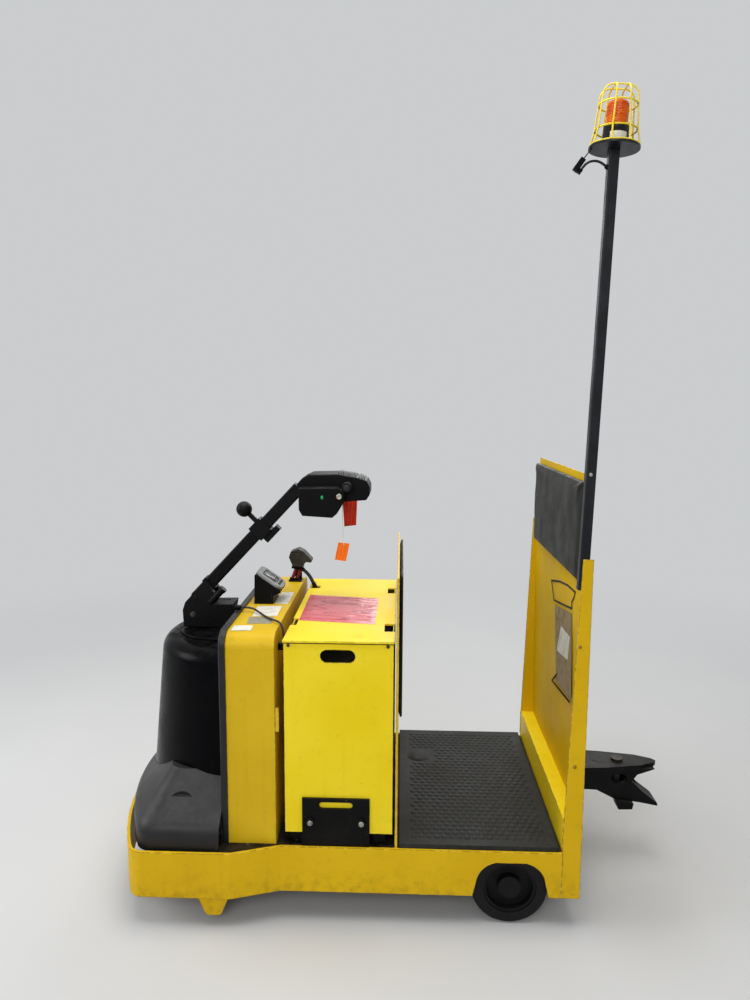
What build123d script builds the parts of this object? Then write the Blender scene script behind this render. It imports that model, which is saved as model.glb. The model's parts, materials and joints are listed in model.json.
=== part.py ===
"""Electric tow tractor for a standing driver, as a set of separate steel, plastic and rubber pieces.

Millimetres. +X points forward, +Y to the tractor's left, +Z up. The origin lies on the floor, on the
centreline, halfway along the tractor.
"""
from build123d import *
import math
import os

os.makedirs("parts", exist_ok=True)

# Steel sheet and plate
FRAME_WALL = 10.0
DECK_THICK = 5.0
SHEET = 4.0
SEAT_GAP = 0.3
RUN_GAP = 8.0

# Frame: a low skirt that runs round the tractor, wider at the front
SKIRT_BOTTOM = 105.0
DECK_TOP = 258.0
FRAME_HALF_W = 426.0
FRONT_HALF_W = 476.0
JOG_REAR_X = 372.0
JOG_FRONT_X = 525.0
BOW_FRONT_X = 959.0
BOW_RADIUS = 1030.0
BOW_CORNER_R = 55.0
REAR_X = -587.0
GUSSET_FOOT = 58.0

# Load wheels under the platform, in rounded arches
LOAD_X = -368.0
LOAD_DIA = 246.0
LOAD_WIDTH = 100.0
LOAD_FACE_IN = 18.0
LOAD_HUB_DIA = 172.0
TYRE_BEVEL = 9.0
ARCH_TOP = 221.0
ARCH_TOP_HALF = 48.0
ARCH_ROUND = (78.0, 208.0)
ARCH_SIDE = (107.0, 170.0)
ARCH_FOOT_HALF = 122.0
STUB_DIA = 40.0
STUB_GAP = 0.4
BRACKET_THICK = 16.0
BRACKET_HALF_L = 62.0
BRACKET_FOOT_R = 42.0

# Drive unit, turned by the tiller about an upright axis
STEER_X = 715.0
DRIVE_DIA = 250.0
DRIVE_WIDTH = 100.0
DRIVE_HUB_DIA = 170.0
TURRET_R = 108.0
TURRET_GAP = 1.0
CRADLE_Z = 290.0
CRADLE_THICK = 15.0
CRADLE_REAR_X = 585.0
CRADLE_WEB_X = 775.0
CRADLE_FRONT_X = 845.0
CRADLE_GAP = 64.0
CRADLE_HALF_W = FRONT_HALF_W - CRADLE_GAP
MOTOR_R = 95.0
MOTOR_TALL = 280.0
STEM_R = 32.0

# Battery case, carried on two rails behind the console
BATTERY_REAR_X = 12.0
BATTERY_FRONT_X = 357.0
BATTERY_GAP = 16.0
BATTERY_HALF_W = FRAME_HALF_W - BATTERY_GAP
BATTERY_BOTTOM = 300.0
BATTERY_TOP = 932.0
LIFT_SLOT_X = 187.0
LIFT_SLOT_LONG = 110.0
LIFT_SLOT_TALL = 42.0
LIFT_SLOT_Z = 888.0
LID_THICK = 6.0
LID_LAP = 3.0
CELL_TOP = 820.0
CELL_INSET = 14.0
RETAINER_X = 193.0
RETAINER_LONG = 216.0
RETAINER_TOP = 420.0
RETAINER_THICK = 8.0

# Console with its flange, the tower cover and the lower shroud
CONSOLE_REAR_X = 386.0
CONSOLE_FRONT_X = 541.0
CONSOLE_GAP = 14.0
CONSOLE_HALF_W = FRAME_HALF_W - CONSOLE_GAP
CONSOLE_TOP = 955.0
CONSOLE_CORNER_R = 48.0
FLANGE_THICK = 22.0
LATCH_Z = 637.0
LATCH_TALL = 78.0
LATCH_REACH = 12.0
POD_Y = -3.0
POD_HALF_W = 60.0
POD_BROW = (126.0, 109.0)
POD_CHIN = (38.0, 49.0)
POD_FACE = 9.0
PLUG_Y = -300.0
PLUG_FOOT = 57.0
PLUG_TALL = 66.0
RIB_FIRST = 74.0
RIB_PITCH = 9.0
RIB_COUNT = 6
FLANGE_PROUD = 5.0
TOWER_FOOT_Z = 348.0
TOWER_TOP = 852.0
TOWER_FOOT_HALF = 322.0
TOWER_HEAD_HALF = 306.0
TOWER_FOOT_FRONT = 898.0
TOWER_HEAD_FRONT = 852.0
TOWER_EDGE_R = 54.0
COVER_WALL = 4.0
RING_X = 634.0
RING_R = 168.0
RING_TALL = 7.0
RING_SINK = 14.0
RING_EDGE = 4.0
SHROUD_FOOT = 250.0
SHROUD_BREAK = 322.0
SHROUD_HEAD = 452.0
SHROUD_GAP = 20.0
SHROUD_HALF = FRONT_HALF_W - SHROUD_GAP
SHROUD_FRONT = 942.0
SHROUD_HEAD_HALF = 304.0
SHROUD_HEAD_FRONT = 806.0
SHROUD_ROUND = 55.0
SHROUD_WALL = 5.0
SHROUD_RIM = 12.0
SHROUD_RIM_PROUD = 3.0
SCOOP_X = 703.0
SCOOP_Y = SHROUD_HALF - 44.0
SCOOP_R = 51.0
SCOOP_DEEP = 12.0

# Platform, mat, partition and kick box
MAT_THICK = 15.5
MAT_GAP = 8.0
MAT_HALF_W = FRAME_HALF_W - MAT_GAP
PARTITION_X = -4.0
PARTITION_THICK = 8.0
PARTITION_TOP = 1141.0
KNEE_BOTTOM = 656.0
KNEE_TOP = 1133.0
KNEE_HALF_W = 340.0
KNEE_THICK = 14.0
KICK_FRONT_X = -529.0
KICK_TALL = 110.0

# Backrest
GUSSET_THICK = 6.0
GUSSET_TOP = 1208.0
GUSSET_HEAD = 31.0
LIP_WIDTH = 24.0
PANEL_THICK = 5.0
PANEL_KNEE_Z = 1110.0
PANEL_HEAD_X = -570.0
PANEL_TOP = 1460.0
POLE = 30.0
PANEL_SIDE_GAP = 2.0
PANEL_HEAD_HALF = FRAME_HALF_W - GUSSET_THICK - POLE - PANEL_SIDE_GAP
PAD_BOTTOM = 1120.0
PAD_TOP = 1446.0
PAD_MARGIN = 4.0
PAD_HALF_W = PANEL_HEAD_HALF - PAD_MARGIN
PAD_THICK = 22.0

# Warning lamp on its pole
POLE_FOOT_Z = 1112.0
POLE_TOP_Z = 2385.0
POLE_FOOT_X = -560.0
POLE_TOP_X = -597.0
LAMP_X = -598.0
LAMP_LEAN = 3.0
LAMP_BASE_R = 71.2
LAMP_BASE_THICK = 6.0
LAMP_FOOT_R = 36.0
LAMP_FOOT_TOP = 60.0
LENS_R = 30.5
LENS_TALL = 69.0
LENS_DOME = 14.0
HOOP_WIRE_R = 2.4
RING_WIRE_R = 2.5
HOOP_TOP = 169.0
HOOP_STEP = 2.0

# Steer head and tiller
HEAD_Z = TOWER_TOP + RING_TALL + 5.0
SHELF_TALL = 84.0
CHEEK_FOOT = 36.0
HEAD_HALF_W = 48.0
PIVOT_X = 735.0
PIVOT_Z = 969.0
ARM_ANGLE = 47.0
ARM_WIDTH = 44.0
ARM_DEEP = 46.0
ARM_LONG = 552.0
ARM_SIDE_GAP = 5.0
PIVOT_PIN_R = 10.0
SLEEVE_FROM = 56.0
SLEEVE_LONG = 18.0
SLEEVE_PROUD = 4.0
GLAND_R = 12.0
CONTROL_HALF_W = 113.0
CONTROL_NECK_HALF = 75.0

# Hitch at the rear
HITCH_TOP = 367.0
HITCH_ROOT_HALF = 78.0
HITCH_TIP_X = -957.0
HITCH_PIN_X = -815.0
HITCH_PIN_R = 12.5
HITCH_CHEEK_HALF = 42.0
HITCH_MOUTH_HALF = 24.0


def box(x_lo, x_hi, y_lo, y_hi, z_lo, z_hi):
    """A box between two corners."""
    size = (x_hi - x_lo, y_hi - y_lo, z_hi - z_lo)
    middle = ((x_lo + x_hi) / 2, (y_lo + y_hi) / 2, (z_lo + z_hi) / 2)
    return Pos(*middle) * Box(*size)


def prism(points, plane, low, high):
    """A flat outline in the XY, XZ or YZ plane, pulled from low to high along the third axis."""
    place = {"XY": lambda a, b: (a, b, low), "XZ": lambda a, b: (a, low, b), "YZ": lambda a, b: (low, a, b)}
    along = {"XY": (0, 0, 1), "XZ": (0, 1, 0), "YZ": (1, 0, 0)}[plane]
    corners = [place[plane](a, b) for a, b in points]
    face = make_face(Polyline(*corners, close=True))
    return extrude(face, amount=high - low, dir=along)


def rod(axis, centre, radius, low, high):
    """A round bar along X, Y or Z from low to high, through the two given centre values."""
    span = high - low
    middle = (low + high) / 2
    if axis == "Y":
        return Pos(centre[0], middle, centre[1]) * Rot(90, 0, 0) * Cylinder(radius, span)
    if axis == "X":
        return Pos(middle, centre[0], centre[1]) * Rot(0, 90, 0) * Cylinder(radius, span)
    return Pos(centre[0], centre[1], middle) * Cylinder(radius, span)


def bar(start, end, radius):
    """A round bar between two points."""
    run = Vector(end) - Vector(start)
    return Plane(origin=start, z_dir=run) * Pos(0, 0, run.length / 2) * Cylinder(radius, run.length)


def mirrored(solid):
    """The piece and its twin on the other side of the tractor."""
    return [solid, mirror(solid, about=Plane.XZ)]


def keep(name, solids):
    """Write one node, of one solid or of several that stand apart."""
    group = solids if isinstance(solids, list) else [solids]
    flat = [s for item in group for s in item.solids()]
    shape = flat[0] if len(flat) == 1 else Compound(children=flat)
    export_step(shape, f"parts/{name}.step")


def bow_outline(front_x, radius, half_w, corner_r, rear_x, z):
    """Plan outline whose front is a wide bow with rounded corners; its rear is straight."""
    centre_x = front_x - radius
    corner_x = centre_x + math.sqrt(radius ** 2 - half_w ** 2)
    edges = [
        ThreePointArc((corner_x, -half_w, z), (front_x, 0, z), (corner_x, half_w, z)),
        Line((corner_x, half_w, z), (rear_x, half_w, z)),
        Line((rear_x, half_w, z), (rear_x, -half_w, z)),
        Line((rear_x, -half_w, z), (corner_x, -half_w, z)),
    ]
    face = make_face(edges)
    corners = [v for v in face.vertices() if abs(v.X - corner_x) < 1]
    return fillet(corners, corner_r)


def frame_outline(inset):
    """Plan outline of the frame, moved inwards by inset."""
    wide = FRONT_HALF_W - inset
    narrow = FRAME_HALF_W - inset
    front = BOW_FRONT_X - inset
    radius = BOW_RADIUS - inset
    corner_x = front - radius + math.sqrt(radius ** 2 - wide ** 2)
    rear = REAR_X + GUSSET_FOOT
    left = [(corner_x, wide), (JOG_FRONT_X, wide), (JOG_REAR_X, narrow), (rear, narrow)]
    right = [(x, -y) for x, y in reversed(left)]
    path = left + right
    edges = [Line(path[i], path[i + 1]) for i in range(len(path) - 1)]
    edges.append(ThreePointArc(path[-1], (front, 0), path[0]))
    face = make_face(edges)
    corners = [v for v in face.vertices() if abs(v.X - corner_x) < 1]
    return fillet(corners, BOW_CORNER_R - inset / 2)


def wheel_arch(side):
    """The opening in the skirt beside one load wheel: a flat top and rounded shoulders."""
    low = side * FRAME_HALF_W - 2 * FRAME_WALL
    half = [(ARCH_FOOT_HALF, SKIRT_BOTTOM - 1), ARCH_SIDE, ARCH_ROUND, (ARCH_TOP_HALF, ARCH_TOP)]
    front = [(LOAD_X + x, low, z) for x, z in half]
    rear = [(LOAD_X - x, low, z) for x, z in half]
    edges = [Line(front[0], rear[0]), Line(front[3], rear[3])]
    for foot, shoulder, rounding, top in (front, rear):
        edges += [Line(foot, shoulder), ThreePointArc(shoulder, rounding, top)]
    return extrude(make_face(edges), amount=4 * FRAME_WALL, dir=(0, 1, 0))


def frame_skirt():
    """Skirt plates and the bowed bumper, welded into one."""
    tall = DECK_TOP - SKIRT_BOTTOM
    shell = extrude(Pos(0, 0, SKIRT_BOTTOM) * frame_outline(0), amount=tall, dir=(0, 0, 1))
    hollow = extrude(Pos(0, 0, SKIRT_BOTTOM) * frame_outline(FRAME_WALL), amount=tall, dir=(0, 0, 1))
    rear = REAR_X + GUSSET_FOOT
    half = FRAME_HALF_W - FRAME_WALL
    mouth = box(rear - 1, rear + 2 * FRAME_WALL, -half, half, SKIRT_BOTTOM, DECK_TOP)
    return shell - hollow - mouth - wheel_arch(1) - wheel_arch(-1)


def deck_plate():
    """The floor that carries the mat, the battery rails and the console."""
    half = FRAME_HALF_W - FRAME_WALL
    front = CONSOLE_FRONT_X + FLANGE_THICK
    wide = FRONT_HALF_W - FRAME_WALL
    left = [(front, wide), (JOG_FRONT_X, wide), (JOG_REAR_X, half), (REAR_X + PANEL_THICK, half)]
    points = left + [(x, -y) for x, y in reversed(left)]
    return prism(points, "XY", DECK_TOP - DECK_THICK, DECK_TOP)


def skid_foot():
    """Rounded foot that stops the front from dropping into a hole or a dock gap."""
    top_half = 47.0
    foot_half = 24.0
    foot_z = 42.0
    lap = 20.0
    middle = 582.0
    top = SKIRT_BOTTOM + lap
    points = [
        (middle - top_half, top), (middle + top_half, top), (middle + top_half, SKIRT_BOTTOM - 8),
        (middle + foot_half, foot_z), (middle - foot_half, foot_z), (middle - top_half, SKIRT_BOTTOM - 8),
    ]
    inner = FRONT_HALF_W - FRAME_WALL
    block = prism(points, "XZ", inner - 26, inner)
    low = block.edges().filter_by(Axis.Y).group_by(Axis.Z)[0]
    return fillet(low, 18)


def drive_cradle():
    """Welded cradle whose top plate carries the turning drive unit."""
    left = [
        (CRADLE_REAR_X, CRADLE_HALF_W), (CRADLE_WEB_X, CRADLE_HALF_W), (CRADLE_FRONT_X, CRADLE_HALF_W - 90)]
    plan = left + [(x, -y) for x, y in reversed(left)]
    plate = prism(plan, "XY", CRADLE_Z, CRADLE_Z + CRADLE_THICK)
    bore = rod("Z", (STEER_X, 0), TURRET_R + TURRET_GAP, CRADLE_Z - 1, CRADLE_Z + CRADLE_THICK + 1)
    solid = plate - bore
    web = 12.0
    foot_z = 130.0
    ear_top = SHROUD_FOOT - 8
    skirt_in = FRONT_HALF_W - FRAME_WALL
    for side in (1, -1):
        low, high = sorted((side * (CRADLE_HALF_W - web), side * CRADLE_HALF_W))
        solid += box(CRADLE_REAR_X, CRADLE_WEB_X, low, high, foot_z, CRADLE_Z)
        low, high = sorted((side * CRADLE_HALF_W, side * skirt_in))
        for x in (CRADLE_REAR_X, CRADLE_WEB_X - web):
            solid += box(x, x + web, low, high, foot_z, ear_top)
    return solid


def load_wheel_y():
    """Middle of the left load wheel, across the tractor."""
    return FRAME_HALF_W - LOAD_FACE_IN - LOAD_WIDTH / 2


def axle_bracket():
    """Plate hung from the deck, with the stub axle welded through it."""
    centre_z = LOAD_DIA / 2
    inner = load_wheel_y() - LOAD_WIDTH / 2 - RUN_GAP - BRACKET_THICK
    top = DECK_TOP - DECK_THICK
    points = [
        (LOAD_X - BRACKET_HALF_L, top), (LOAD_X + BRACKET_HALF_L, top), (LOAD_X + BRACKET_FOOT_R, centre_z),
        (LOAD_X - BRACKET_FOOT_R, centre_z),
    ]
    plate = prism(points, "XZ", inner, inner + BRACKET_THICK)
    plate += rod("Y", (LOAD_X, centre_z), BRACKET_FOOT_R, inner, inner + BRACKET_THICK)
    stub_end = load_wheel_y() + LOAD_WIDTH / 2 - 22
    plate += rod("Y", (LOAD_X, centre_z), STUB_DIA / 2, inner, stub_end)
    plate += rod("Y", (LOAD_X, centre_z), STUB_DIA / 2 + 12, inner, inner + BRACKET_THICK + RUN_GAP - 5)
    return plate


def wheel_tyre(x, y, dia, width, hub_dia):
    """Solid rubber tyre with bevelled shoulders."""
    z = dia / 2
    ring = rod("Y", (x, z), dia / 2, y - width / 2, y + width / 2)
    shoulder = ring.edges().filter_by(GeomType.CIRCLE)
    ring = chamfer(shoulder, TYRE_BEVEL)
    return ring - rod("Y", (x, z), hub_dia / 2, y - width, y + width)


def wheel_hub(x, y, dia, width, hub_dia, bore, outward):
    """Cast hub with a dished web and a raised nave; outward is the side that shows."""
    z = dia / 2
    hub = rod("Y", (x, z), hub_dia / 2, y - width / 2 + 4, y + width / 2 - 4)
    dish = 26.0
    face = width / 2 - 4
    rim = hub_dia / 2 - 10
    nave = bore + 16
    for side in (1, -1):
        low, high = sorted((y + side * (face - dish), y + side * (face + 1)))
        ring = rod("Y", (x, z), rim, low, high) - rod("Y", (x, z), nave, low, high)
        hub = hub - ring
    low, high = sorted((y - outward * width, y + outward * (width / 2 - 16)))
    return hub - rod("Y", (x, z), bore, low, high)


def drive_gearbox():
    """Turning drive unit: a turret in the cradle, a gear leg beside the wheel and its short axle."""
    centre_z = DRIVE_DIA / 2
    flange_z = CRADLE_Z + CRADLE_THICK + SEAT_GAP
    leg_in = -DRIVE_WIDTH / 2 - RUN_GAP
    leg_out = leg_in - 62
    turret_z = DRIVE_DIA + RUN_GAP + 4
    unit = rod("Z", (STEER_X, 0), TURRET_R, turret_z, flange_z + 14)
    unit += rod("Z", (STEER_X, 0), TURRET_R + 22, flange_z, flange_z + 14)
    unit += rod("Y", (STEER_X, centre_z), 78, leg_out, leg_in)
    unit += box(STEER_X - 70, STEER_X + 70, leg_out + 14, leg_in, centre_z, turret_z + 12)
    unit += rod("Y", (STEER_X, centre_z), 22, leg_in, DRIVE_WIDTH / 2 - 22)
    swing = rod("Z", (STEER_X, 0), TURRET_R, turret_z - 60, turret_z + 12)
    trim = box(STEER_X - 200, STEER_X + 200, leg_in, 200, turret_z - 60, turret_z)
    return unit + (swing - trim)


def traction_motor():
    """Upright motor that stands on the drive unit inside the tower."""
    low = CRADLE_Z + CRADLE_THICK + SEAT_GAP + 14
    return rod("Z", (STEER_X, 0), MOTOR_R, low, low + MOTOR_TALL)


def battery_rails():
    """Two dark runners under the battery case."""
    rail = 40.0
    inset = 22.0
    rails = []
    for x in (BATTERY_REAR_X + inset, BATTERY_FRONT_X - inset - rail):
        rails.append(box(x, x + rail, -BATTERY_HALF_W + 12, BATTERY_HALF_W - 12, DECK_TOP, BATTERY_BOTTOM))
    return rails


def obround(x, z, long, tall, y_lo, y_hi):
    """A slot with round ends, cut through along Y."""
    half = long / 2 - tall / 2
    body = box(x - half, x + half, y_lo, y_hi, z - tall / 2, z + tall / 2)
    for side in (1, -1):
        body += rod("Y", (x + side * half, z), tall / 2, y_lo, y_hi)
    return body


def battery_case():
    """Open steel box with a lifting slot at each end."""
    outer = box(BATTERY_REAR_X, BATTERY_FRONT_X, -BATTERY_HALF_W, BATTERY_HALF_W, BATTERY_BOTTOM, BATTERY_TOP)
    inner = box(
        BATTERY_REAR_X + SHEET, BATTERY_FRONT_X - SHEET, -BATTERY_HALF_W + SHEET, BATTERY_HALF_W - SHEET,
        BATTERY_BOTTOM + SHEET, BATTERY_TOP + 1,
    )
    slot = obround(LIFT_SLOT_X, LIFT_SLOT_Z, LIFT_SLOT_LONG, LIFT_SLOT_TALL, -BATTERY_HALF_W - 1, BATTERY_HALF_W + 1)
    return outer - inner - slot


def battery_cells():
    """The cells as one heavy block."""
    x_in = CELL_INSET
    return box(
        BATTERY_REAR_X + x_in, BATTERY_FRONT_X - x_in, -BATTERY_HALF_W + x_in, BATTERY_HALF_W - x_in,
        BATTERY_BOTTOM + SHEET, CELL_TOP,
    )


def battery_lid():
    """Lift-off cover plate with two notches at its rear edge and two at its front edge, one of them for a lead."""
    rear = BATTERY_REAR_X - LID_LAP
    front = BATTERY_FRONT_X + LID_LAP
    half = BATTERY_HALF_W + 2 * LID_LAP
    lid = box(rear, front, -half, half, BATTERY_TOP, BATTERY_TOP + LID_THICK)
    notches = [(rear - 1, 44.0, 221.0, 306.0), (rear - 1, 42.0, -271.0, -187.0), (340.0, front + 1, 169.0, 249.0)]
    lead_x, lead_y, _ = BATTERY_LEADS["battery_lead_black"][-1]
    notches.append((lead_x - 29, front + 1, lead_y - 15, lead_y + 23))
    for x_lo, x_hi, y_lo, y_hi in notches:
        lid -= box(x_lo, x_hi, y_lo, y_hi, BATTERY_TOP - 1, BATTERY_TOP + LID_THICK + 1)
    edges = lid.edges().filter_by(Axis.Z)
    return fillet(edges, 3)


def battery_retainer():
    """Plate bolted to the deck's edge that holds the battery case in."""
    low = BATTERY_HALF_W
    high = low + RETAINER_THICK
    half = RETAINER_LONG / 2
    plate = box(RETAINER_X - half, RETAINER_X + half, low, high, DECK_TOP, RETAINER_TOP)
    slot = obround(RETAINER_X, RETAINER_TOP - 23, RETAINER_LONG / 2, 22, low - 1, high + 1)
    plate -= slot
    for side in (1, -1):
        plate += rod("Y", (RETAINER_X + side * 82, 340), 13, high, high + 7)
    return plate


def console_outline(half_w, top, corner_r, x_lo, x_hi, bottom):
    """Upright slab across the tractor with rounded top corners."""
    slab = box(x_lo, x_hi, -half_w, half_w, bottom, top)
    edges = slab.edges().filter_by(Axis.X).group_by(Axis.Z)[-1]
    return fillet(edges, corner_r)


def console():
    """Folded sheet housing between tower and battery, open at the bottom, with the battery's latch plate."""
    outer = console_outline(
        CONSOLE_HALF_W, CONSOLE_TOP, CONSOLE_CORNER_R, CONSOLE_REAR_X, CONSOLE_FRONT_X, DECK_TOP)
    inner = console_outline(
        CONSOLE_HALF_W - SHEET, CONSOLE_TOP - SHEET, CONSOLE_CORNER_R - SHEET, CONSOLE_REAR_X + SHEET,
        CONSOLE_FRONT_X - SHEET, DECK_TOP - 1)
    latch = box(
        CONSOLE_REAR_X - LATCH_REACH, CONSOLE_REAR_X + SHEET, CONSOLE_HALF_W - 7, CONSOLE_HALF_W - SHEET / 2,
        LATCH_Z, LATCH_Z + LATCH_TALL)
    return outer - inner + latch


def tower_flange():
    """Moulded frame round the tower's rear edge, against the console."""
    rear = CONSOLE_FRONT_X
    front = rear + FLANGE_THICK
    half = CONSOLE_HALF_W + FLANGE_PROUD
    slab = console_outline(half, CONSOLE_TOP + FLANGE_PROUD + 3, CONSOLE_CORNER_R + FLANGE_PROUD, rear, front, DECK_TOP)
    slab = fillet(slab.faces().sort_by(Axis.X)[-1].edges().filter_by(lambda e: e.center().Z > DECK_TOP + 1), 8)
    window = box(rear - 1, front + 1, -TOWER_HEAD_HALF + 40, TOWER_HEAD_HALF - 40, 330, TOWER_TOP - 60)
    return slab - window


def tower_section(z, front, half, inset):
    """D-shaped plan of the tower at one height."""
    rear = CONSOLE_FRONT_X + FLANGE_THICK
    shoulder = rear + 30
    edges = [
        Line((rear, -half + inset, z), (shoulder, -half + inset, z)),
        ThreePointArc((shoulder, -half + inset, z), (front - inset, 0, z), (shoulder, half - inset, z)),
        Line((shoulder, half - inset, z), (rear, half - inset, z)),
        Line((rear, half - inset, z), (rear, -half + inset, z)),
    ]
    return make_face(edges)


def tower_form(inset, foot_z):
    """Solid form of the tower, from foot_z up, moved inwards by inset."""
    reach = (foot_z - TOWER_FOOT_Z) / (TOWER_TOP - TOWER_FOOT_Z)
    foot_front = TOWER_FOOT_FRONT + reach * (TOWER_HEAD_FRONT - TOWER_FOOT_FRONT)
    foot_half = TOWER_FOOT_HALF + reach * (TOWER_HEAD_HALF - TOWER_FOOT_HALF)
    top = TOWER_TOP - inset
    low = tower_section(foot_z, foot_front, foot_half, inset)
    high = tower_section(top, TOWER_HEAD_FRONT, TOWER_HEAD_HALF, inset)
    form = loft([low, high], ruled=True)
    lip = form.faces().sort_by(Axis.Z)[-1].edges()
    round_lip = [e for e in lip if e.center().X > CONSOLE_FRONT_X + FLANGE_THICK + 1]
    return fillet(round_lip, TOWER_EDGE_R - inset)


def tower_cover():
    """Thin moulded cover over the motor, open behind and below."""
    hollow = tower_form(COVER_WALL, TOWER_FOOT_Z - 1)
    rear = CONSOLE_FRONT_X + FLANGE_THICK
    hole = rod("Z", (STEER_X, 0), STEM_R + 8, TOWER_TOP - 60, TOWER_TOP + 10)
    behind = box(
        rear - 1, rear + 30, -TOWER_HEAD_HALF + 12, TOWER_HEAD_HALF - 12, TOWER_FOOT_Z - 1, TOWER_TOP - TOWER_EDGE_R)
    return tower_form(0, TOWER_FOOT_Z) - hollow - hole - behind


def tower_ring():
    """Raised round boss under the steer head, cut off at the flange; its wall runs down over the tower's edge."""
    top = TOWER_TOP + RING_TALL
    low = TOWER_TOP - RING_SINK
    boss = rod("Z", (RING_X, 0), RING_R, low, top)
    boss = fillet(boss.edges().filter_by(GeomType.CIRCLE).sort_by(Axis.Z)[-1], RING_EDGE)
    boss -= rod("Z", (STEER_X, 0), STEM_R + 6, low - 1, top + 1)
    flange_face = CONSOLE_FRONT_X + FLANGE_THICK
    boss -= box(RING_X - 2 * RING_R, flange_face, -RING_R, RING_R, low - 1, top + 1)
    return boss - tower_form(-SEAT_GAP, TOWER_FOOT_Z)


def shroud_form(inset):
    """Solid form of the shroud: an upright skirt, a rounded break and a slope up to the tower."""
    rear = CONSOLE_FRONT_X + FLANGE_THICK
    foot = bow_outline(SHROUD_FRONT - inset, 900, SHROUD_HALF - inset, 60 - inset, rear, SHROUD_FOOT)
    wall = extrude(foot, amount=SHROUD_BREAK - SHROUD_FOOT, dir=(0, 0, 1))
    low = bow_outline(SHROUD_FRONT - inset, 900, SHROUD_HALF - inset, 60 - inset, rear, SHROUD_BREAK)
    high = bow_outline(
        SHROUD_HEAD_FRONT - inset, 900, SHROUD_HEAD_HALF - inset, 60 - inset, rear, SHROUD_HEAD - inset * 0.4)
    slope = loft([low, high], ruled=True)
    form = wall + slope
    brow = [e for e in form.edges() if abs(e.center().Z - SHROUD_BREAK) < 0.1 and e.center().X > rear + 1]
    return fillet(brow, SHROUD_ROUND - inset)


def lower_shroud():
    """Moulded cover over the drive unit that meets the tower all round, with a finger scoop on each slope."""
    rear = CONSOLE_FRONT_X + FLANGE_THICK
    rim = shroud_form(-SHROUD_RIM_PROUD) & box(
        rear, rear + SHROUD_RIM, -FRONT_HALF_W, FRONT_HALF_W, SHROUD_FOOT, SHROUD_HEAD + SHROUD_RIM_PROUD)
    outer = shroud_form(0) + rim
    inner = shroud_form(SHROUD_WALL)
    rise = (SHROUD_HALF - SCOOP_Y + SCOOP_R) / (SHROUD_HALF - SHROUD_HEAD_HALF)
    floor = SHROUD_BREAK + rise * (SHROUD_HEAD - SHROUD_BREAK) - SCOOP_DEEP
    for side in (1, -1):
        centre = (SCOOP_X, side * SCOOP_Y)
        outer -= rod("Z", centre, SCOOP_R, floor, SHROUD_HEAD)
        inner -= rod("Z", centre, SCOOP_R + SHROUD_WALL, floor - SHROUD_WALL, SHROUD_HEAD)
    return outer - inner - tower_form(-SEAT_GAP, SHROUD_FOOT)


def display_pod():
    """Pedestal with a slanting top, on the console."""
    profile = [(64, 0), (132, 0), (130, 105), POD_BROW, POD_CHIN, (38, 41), (64, 30)]
    points = [(CONSOLE_REAR_X + x, CONSOLE_TOP + z) for x, z in profile]
    pod = prism(points, "XZ", POD_Y - POD_HALF_W, POD_Y + POD_HALF_W)
    uprights = pod.edges().filter_by(Axis.Z)
    return fillet(uprights, 5)


def display_face():
    """Rounded grey face on the pod's slant, with a sunk window."""
    rise = POD_BROW[1] - POD_CHIN[1]
    run = POD_BROW[0] - POD_CHIN[0]
    long = math.hypot(rise, run) + 4
    middle = (CONSOLE_REAR_X + POD_CHIN[0] + run / 2, POD_Y, CONSOLE_TOP + POD_CHIN[1] + rise / 2)
    slab = Box(long, 2 * POD_HALF_W - 4, POD_FACE)
    slab = fillet(slab.edges().filter_by(Axis.Z), 30)
    slab = fillet(slab.faces().sort_by(Axis.Z)[-1].edges(), 2.5)
    window = extrude(RectangleRounded(long - 50, 2 * POD_HALF_W - 46, 10), amount=POD_FACE)
    slab -= Pos(4, 0, POD_FACE / 2 - 1.5) * window
    slant = math.degrees(math.atan2(rise, run))
    return Pos(*middle) * Rot(0, -slant, 0) * Pos(0, 0, POD_FACE / 2 + SEAT_GAP) * slab


def power_socket():
    """Battery connector body, held over the console by a bent plate on its far side."""
    rear = CONSOLE_REAR_X + 2
    front = rear + 44
    plate_y = PLUG_Y - 30
    foot = box(rear + 6, front + 14, plate_y - 5, PLUG_Y + 16, CONSOLE_TOP, CONSOLE_TOP + SHEET)
    plate = box(rear + 10, front - 6, plate_y - 5, plate_y, CONSOLE_TOP, CONSOLE_TOP + PLUG_TALL)
    socket = foot + plate + box(
        rear, front, plate_y, PLUG_Y + 26, CONSOLE_TOP + PLUG_FOOT, CONSOLE_TOP + PLUG_TALL)
    for name, points in BATTERY_LEADS.items():
        socket += boot(points[0], points[1], BOOT_R, 10)
        if name != "battery_lead_black":
            socket += boot(points[-1], points[-2], BOOT_R, 16) & above(CONSOLE_TOP)
    return socket


def power_handle():
    """Pull handle of the battery connector."""
    foot = PLUG_TALL + SEAT_GAP
    profile = [(4, foot), (42, foot), (57, 103), (50, 125), (19, 137), (-2, 127), (-35, 92), (-33, 82), (-12, 84)]
    points = [(CONSOLE_REAR_X + x, CONSOLE_TOP + z) for x, z in profile]
    block = prism(points, "XZ", PLUG_Y - 26, PLUG_Y + 26)
    block = fillet(block.edges().filter_by(Axis.Y), 3)
    for i in range(RIB_COUNT):
        z = CONSOLE_TOP + RIB_FIRST + i * RIB_PITCH
        for y in (PLUG_Y - 26, PLUG_Y + 26):
            block -= box(CONSOLE_REAR_X + 6, CONSOLE_FRONT_X, y - 2, y + 2, z, z + 4)
    return block


def partition():
    """Plate between the battery and the driver."""
    return box(PARTITION_X, PARTITION_X + PARTITION_THICK, -MAT_HALF_W, MAT_HALF_W, DECK_TOP, PARTITION_TOP)


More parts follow.
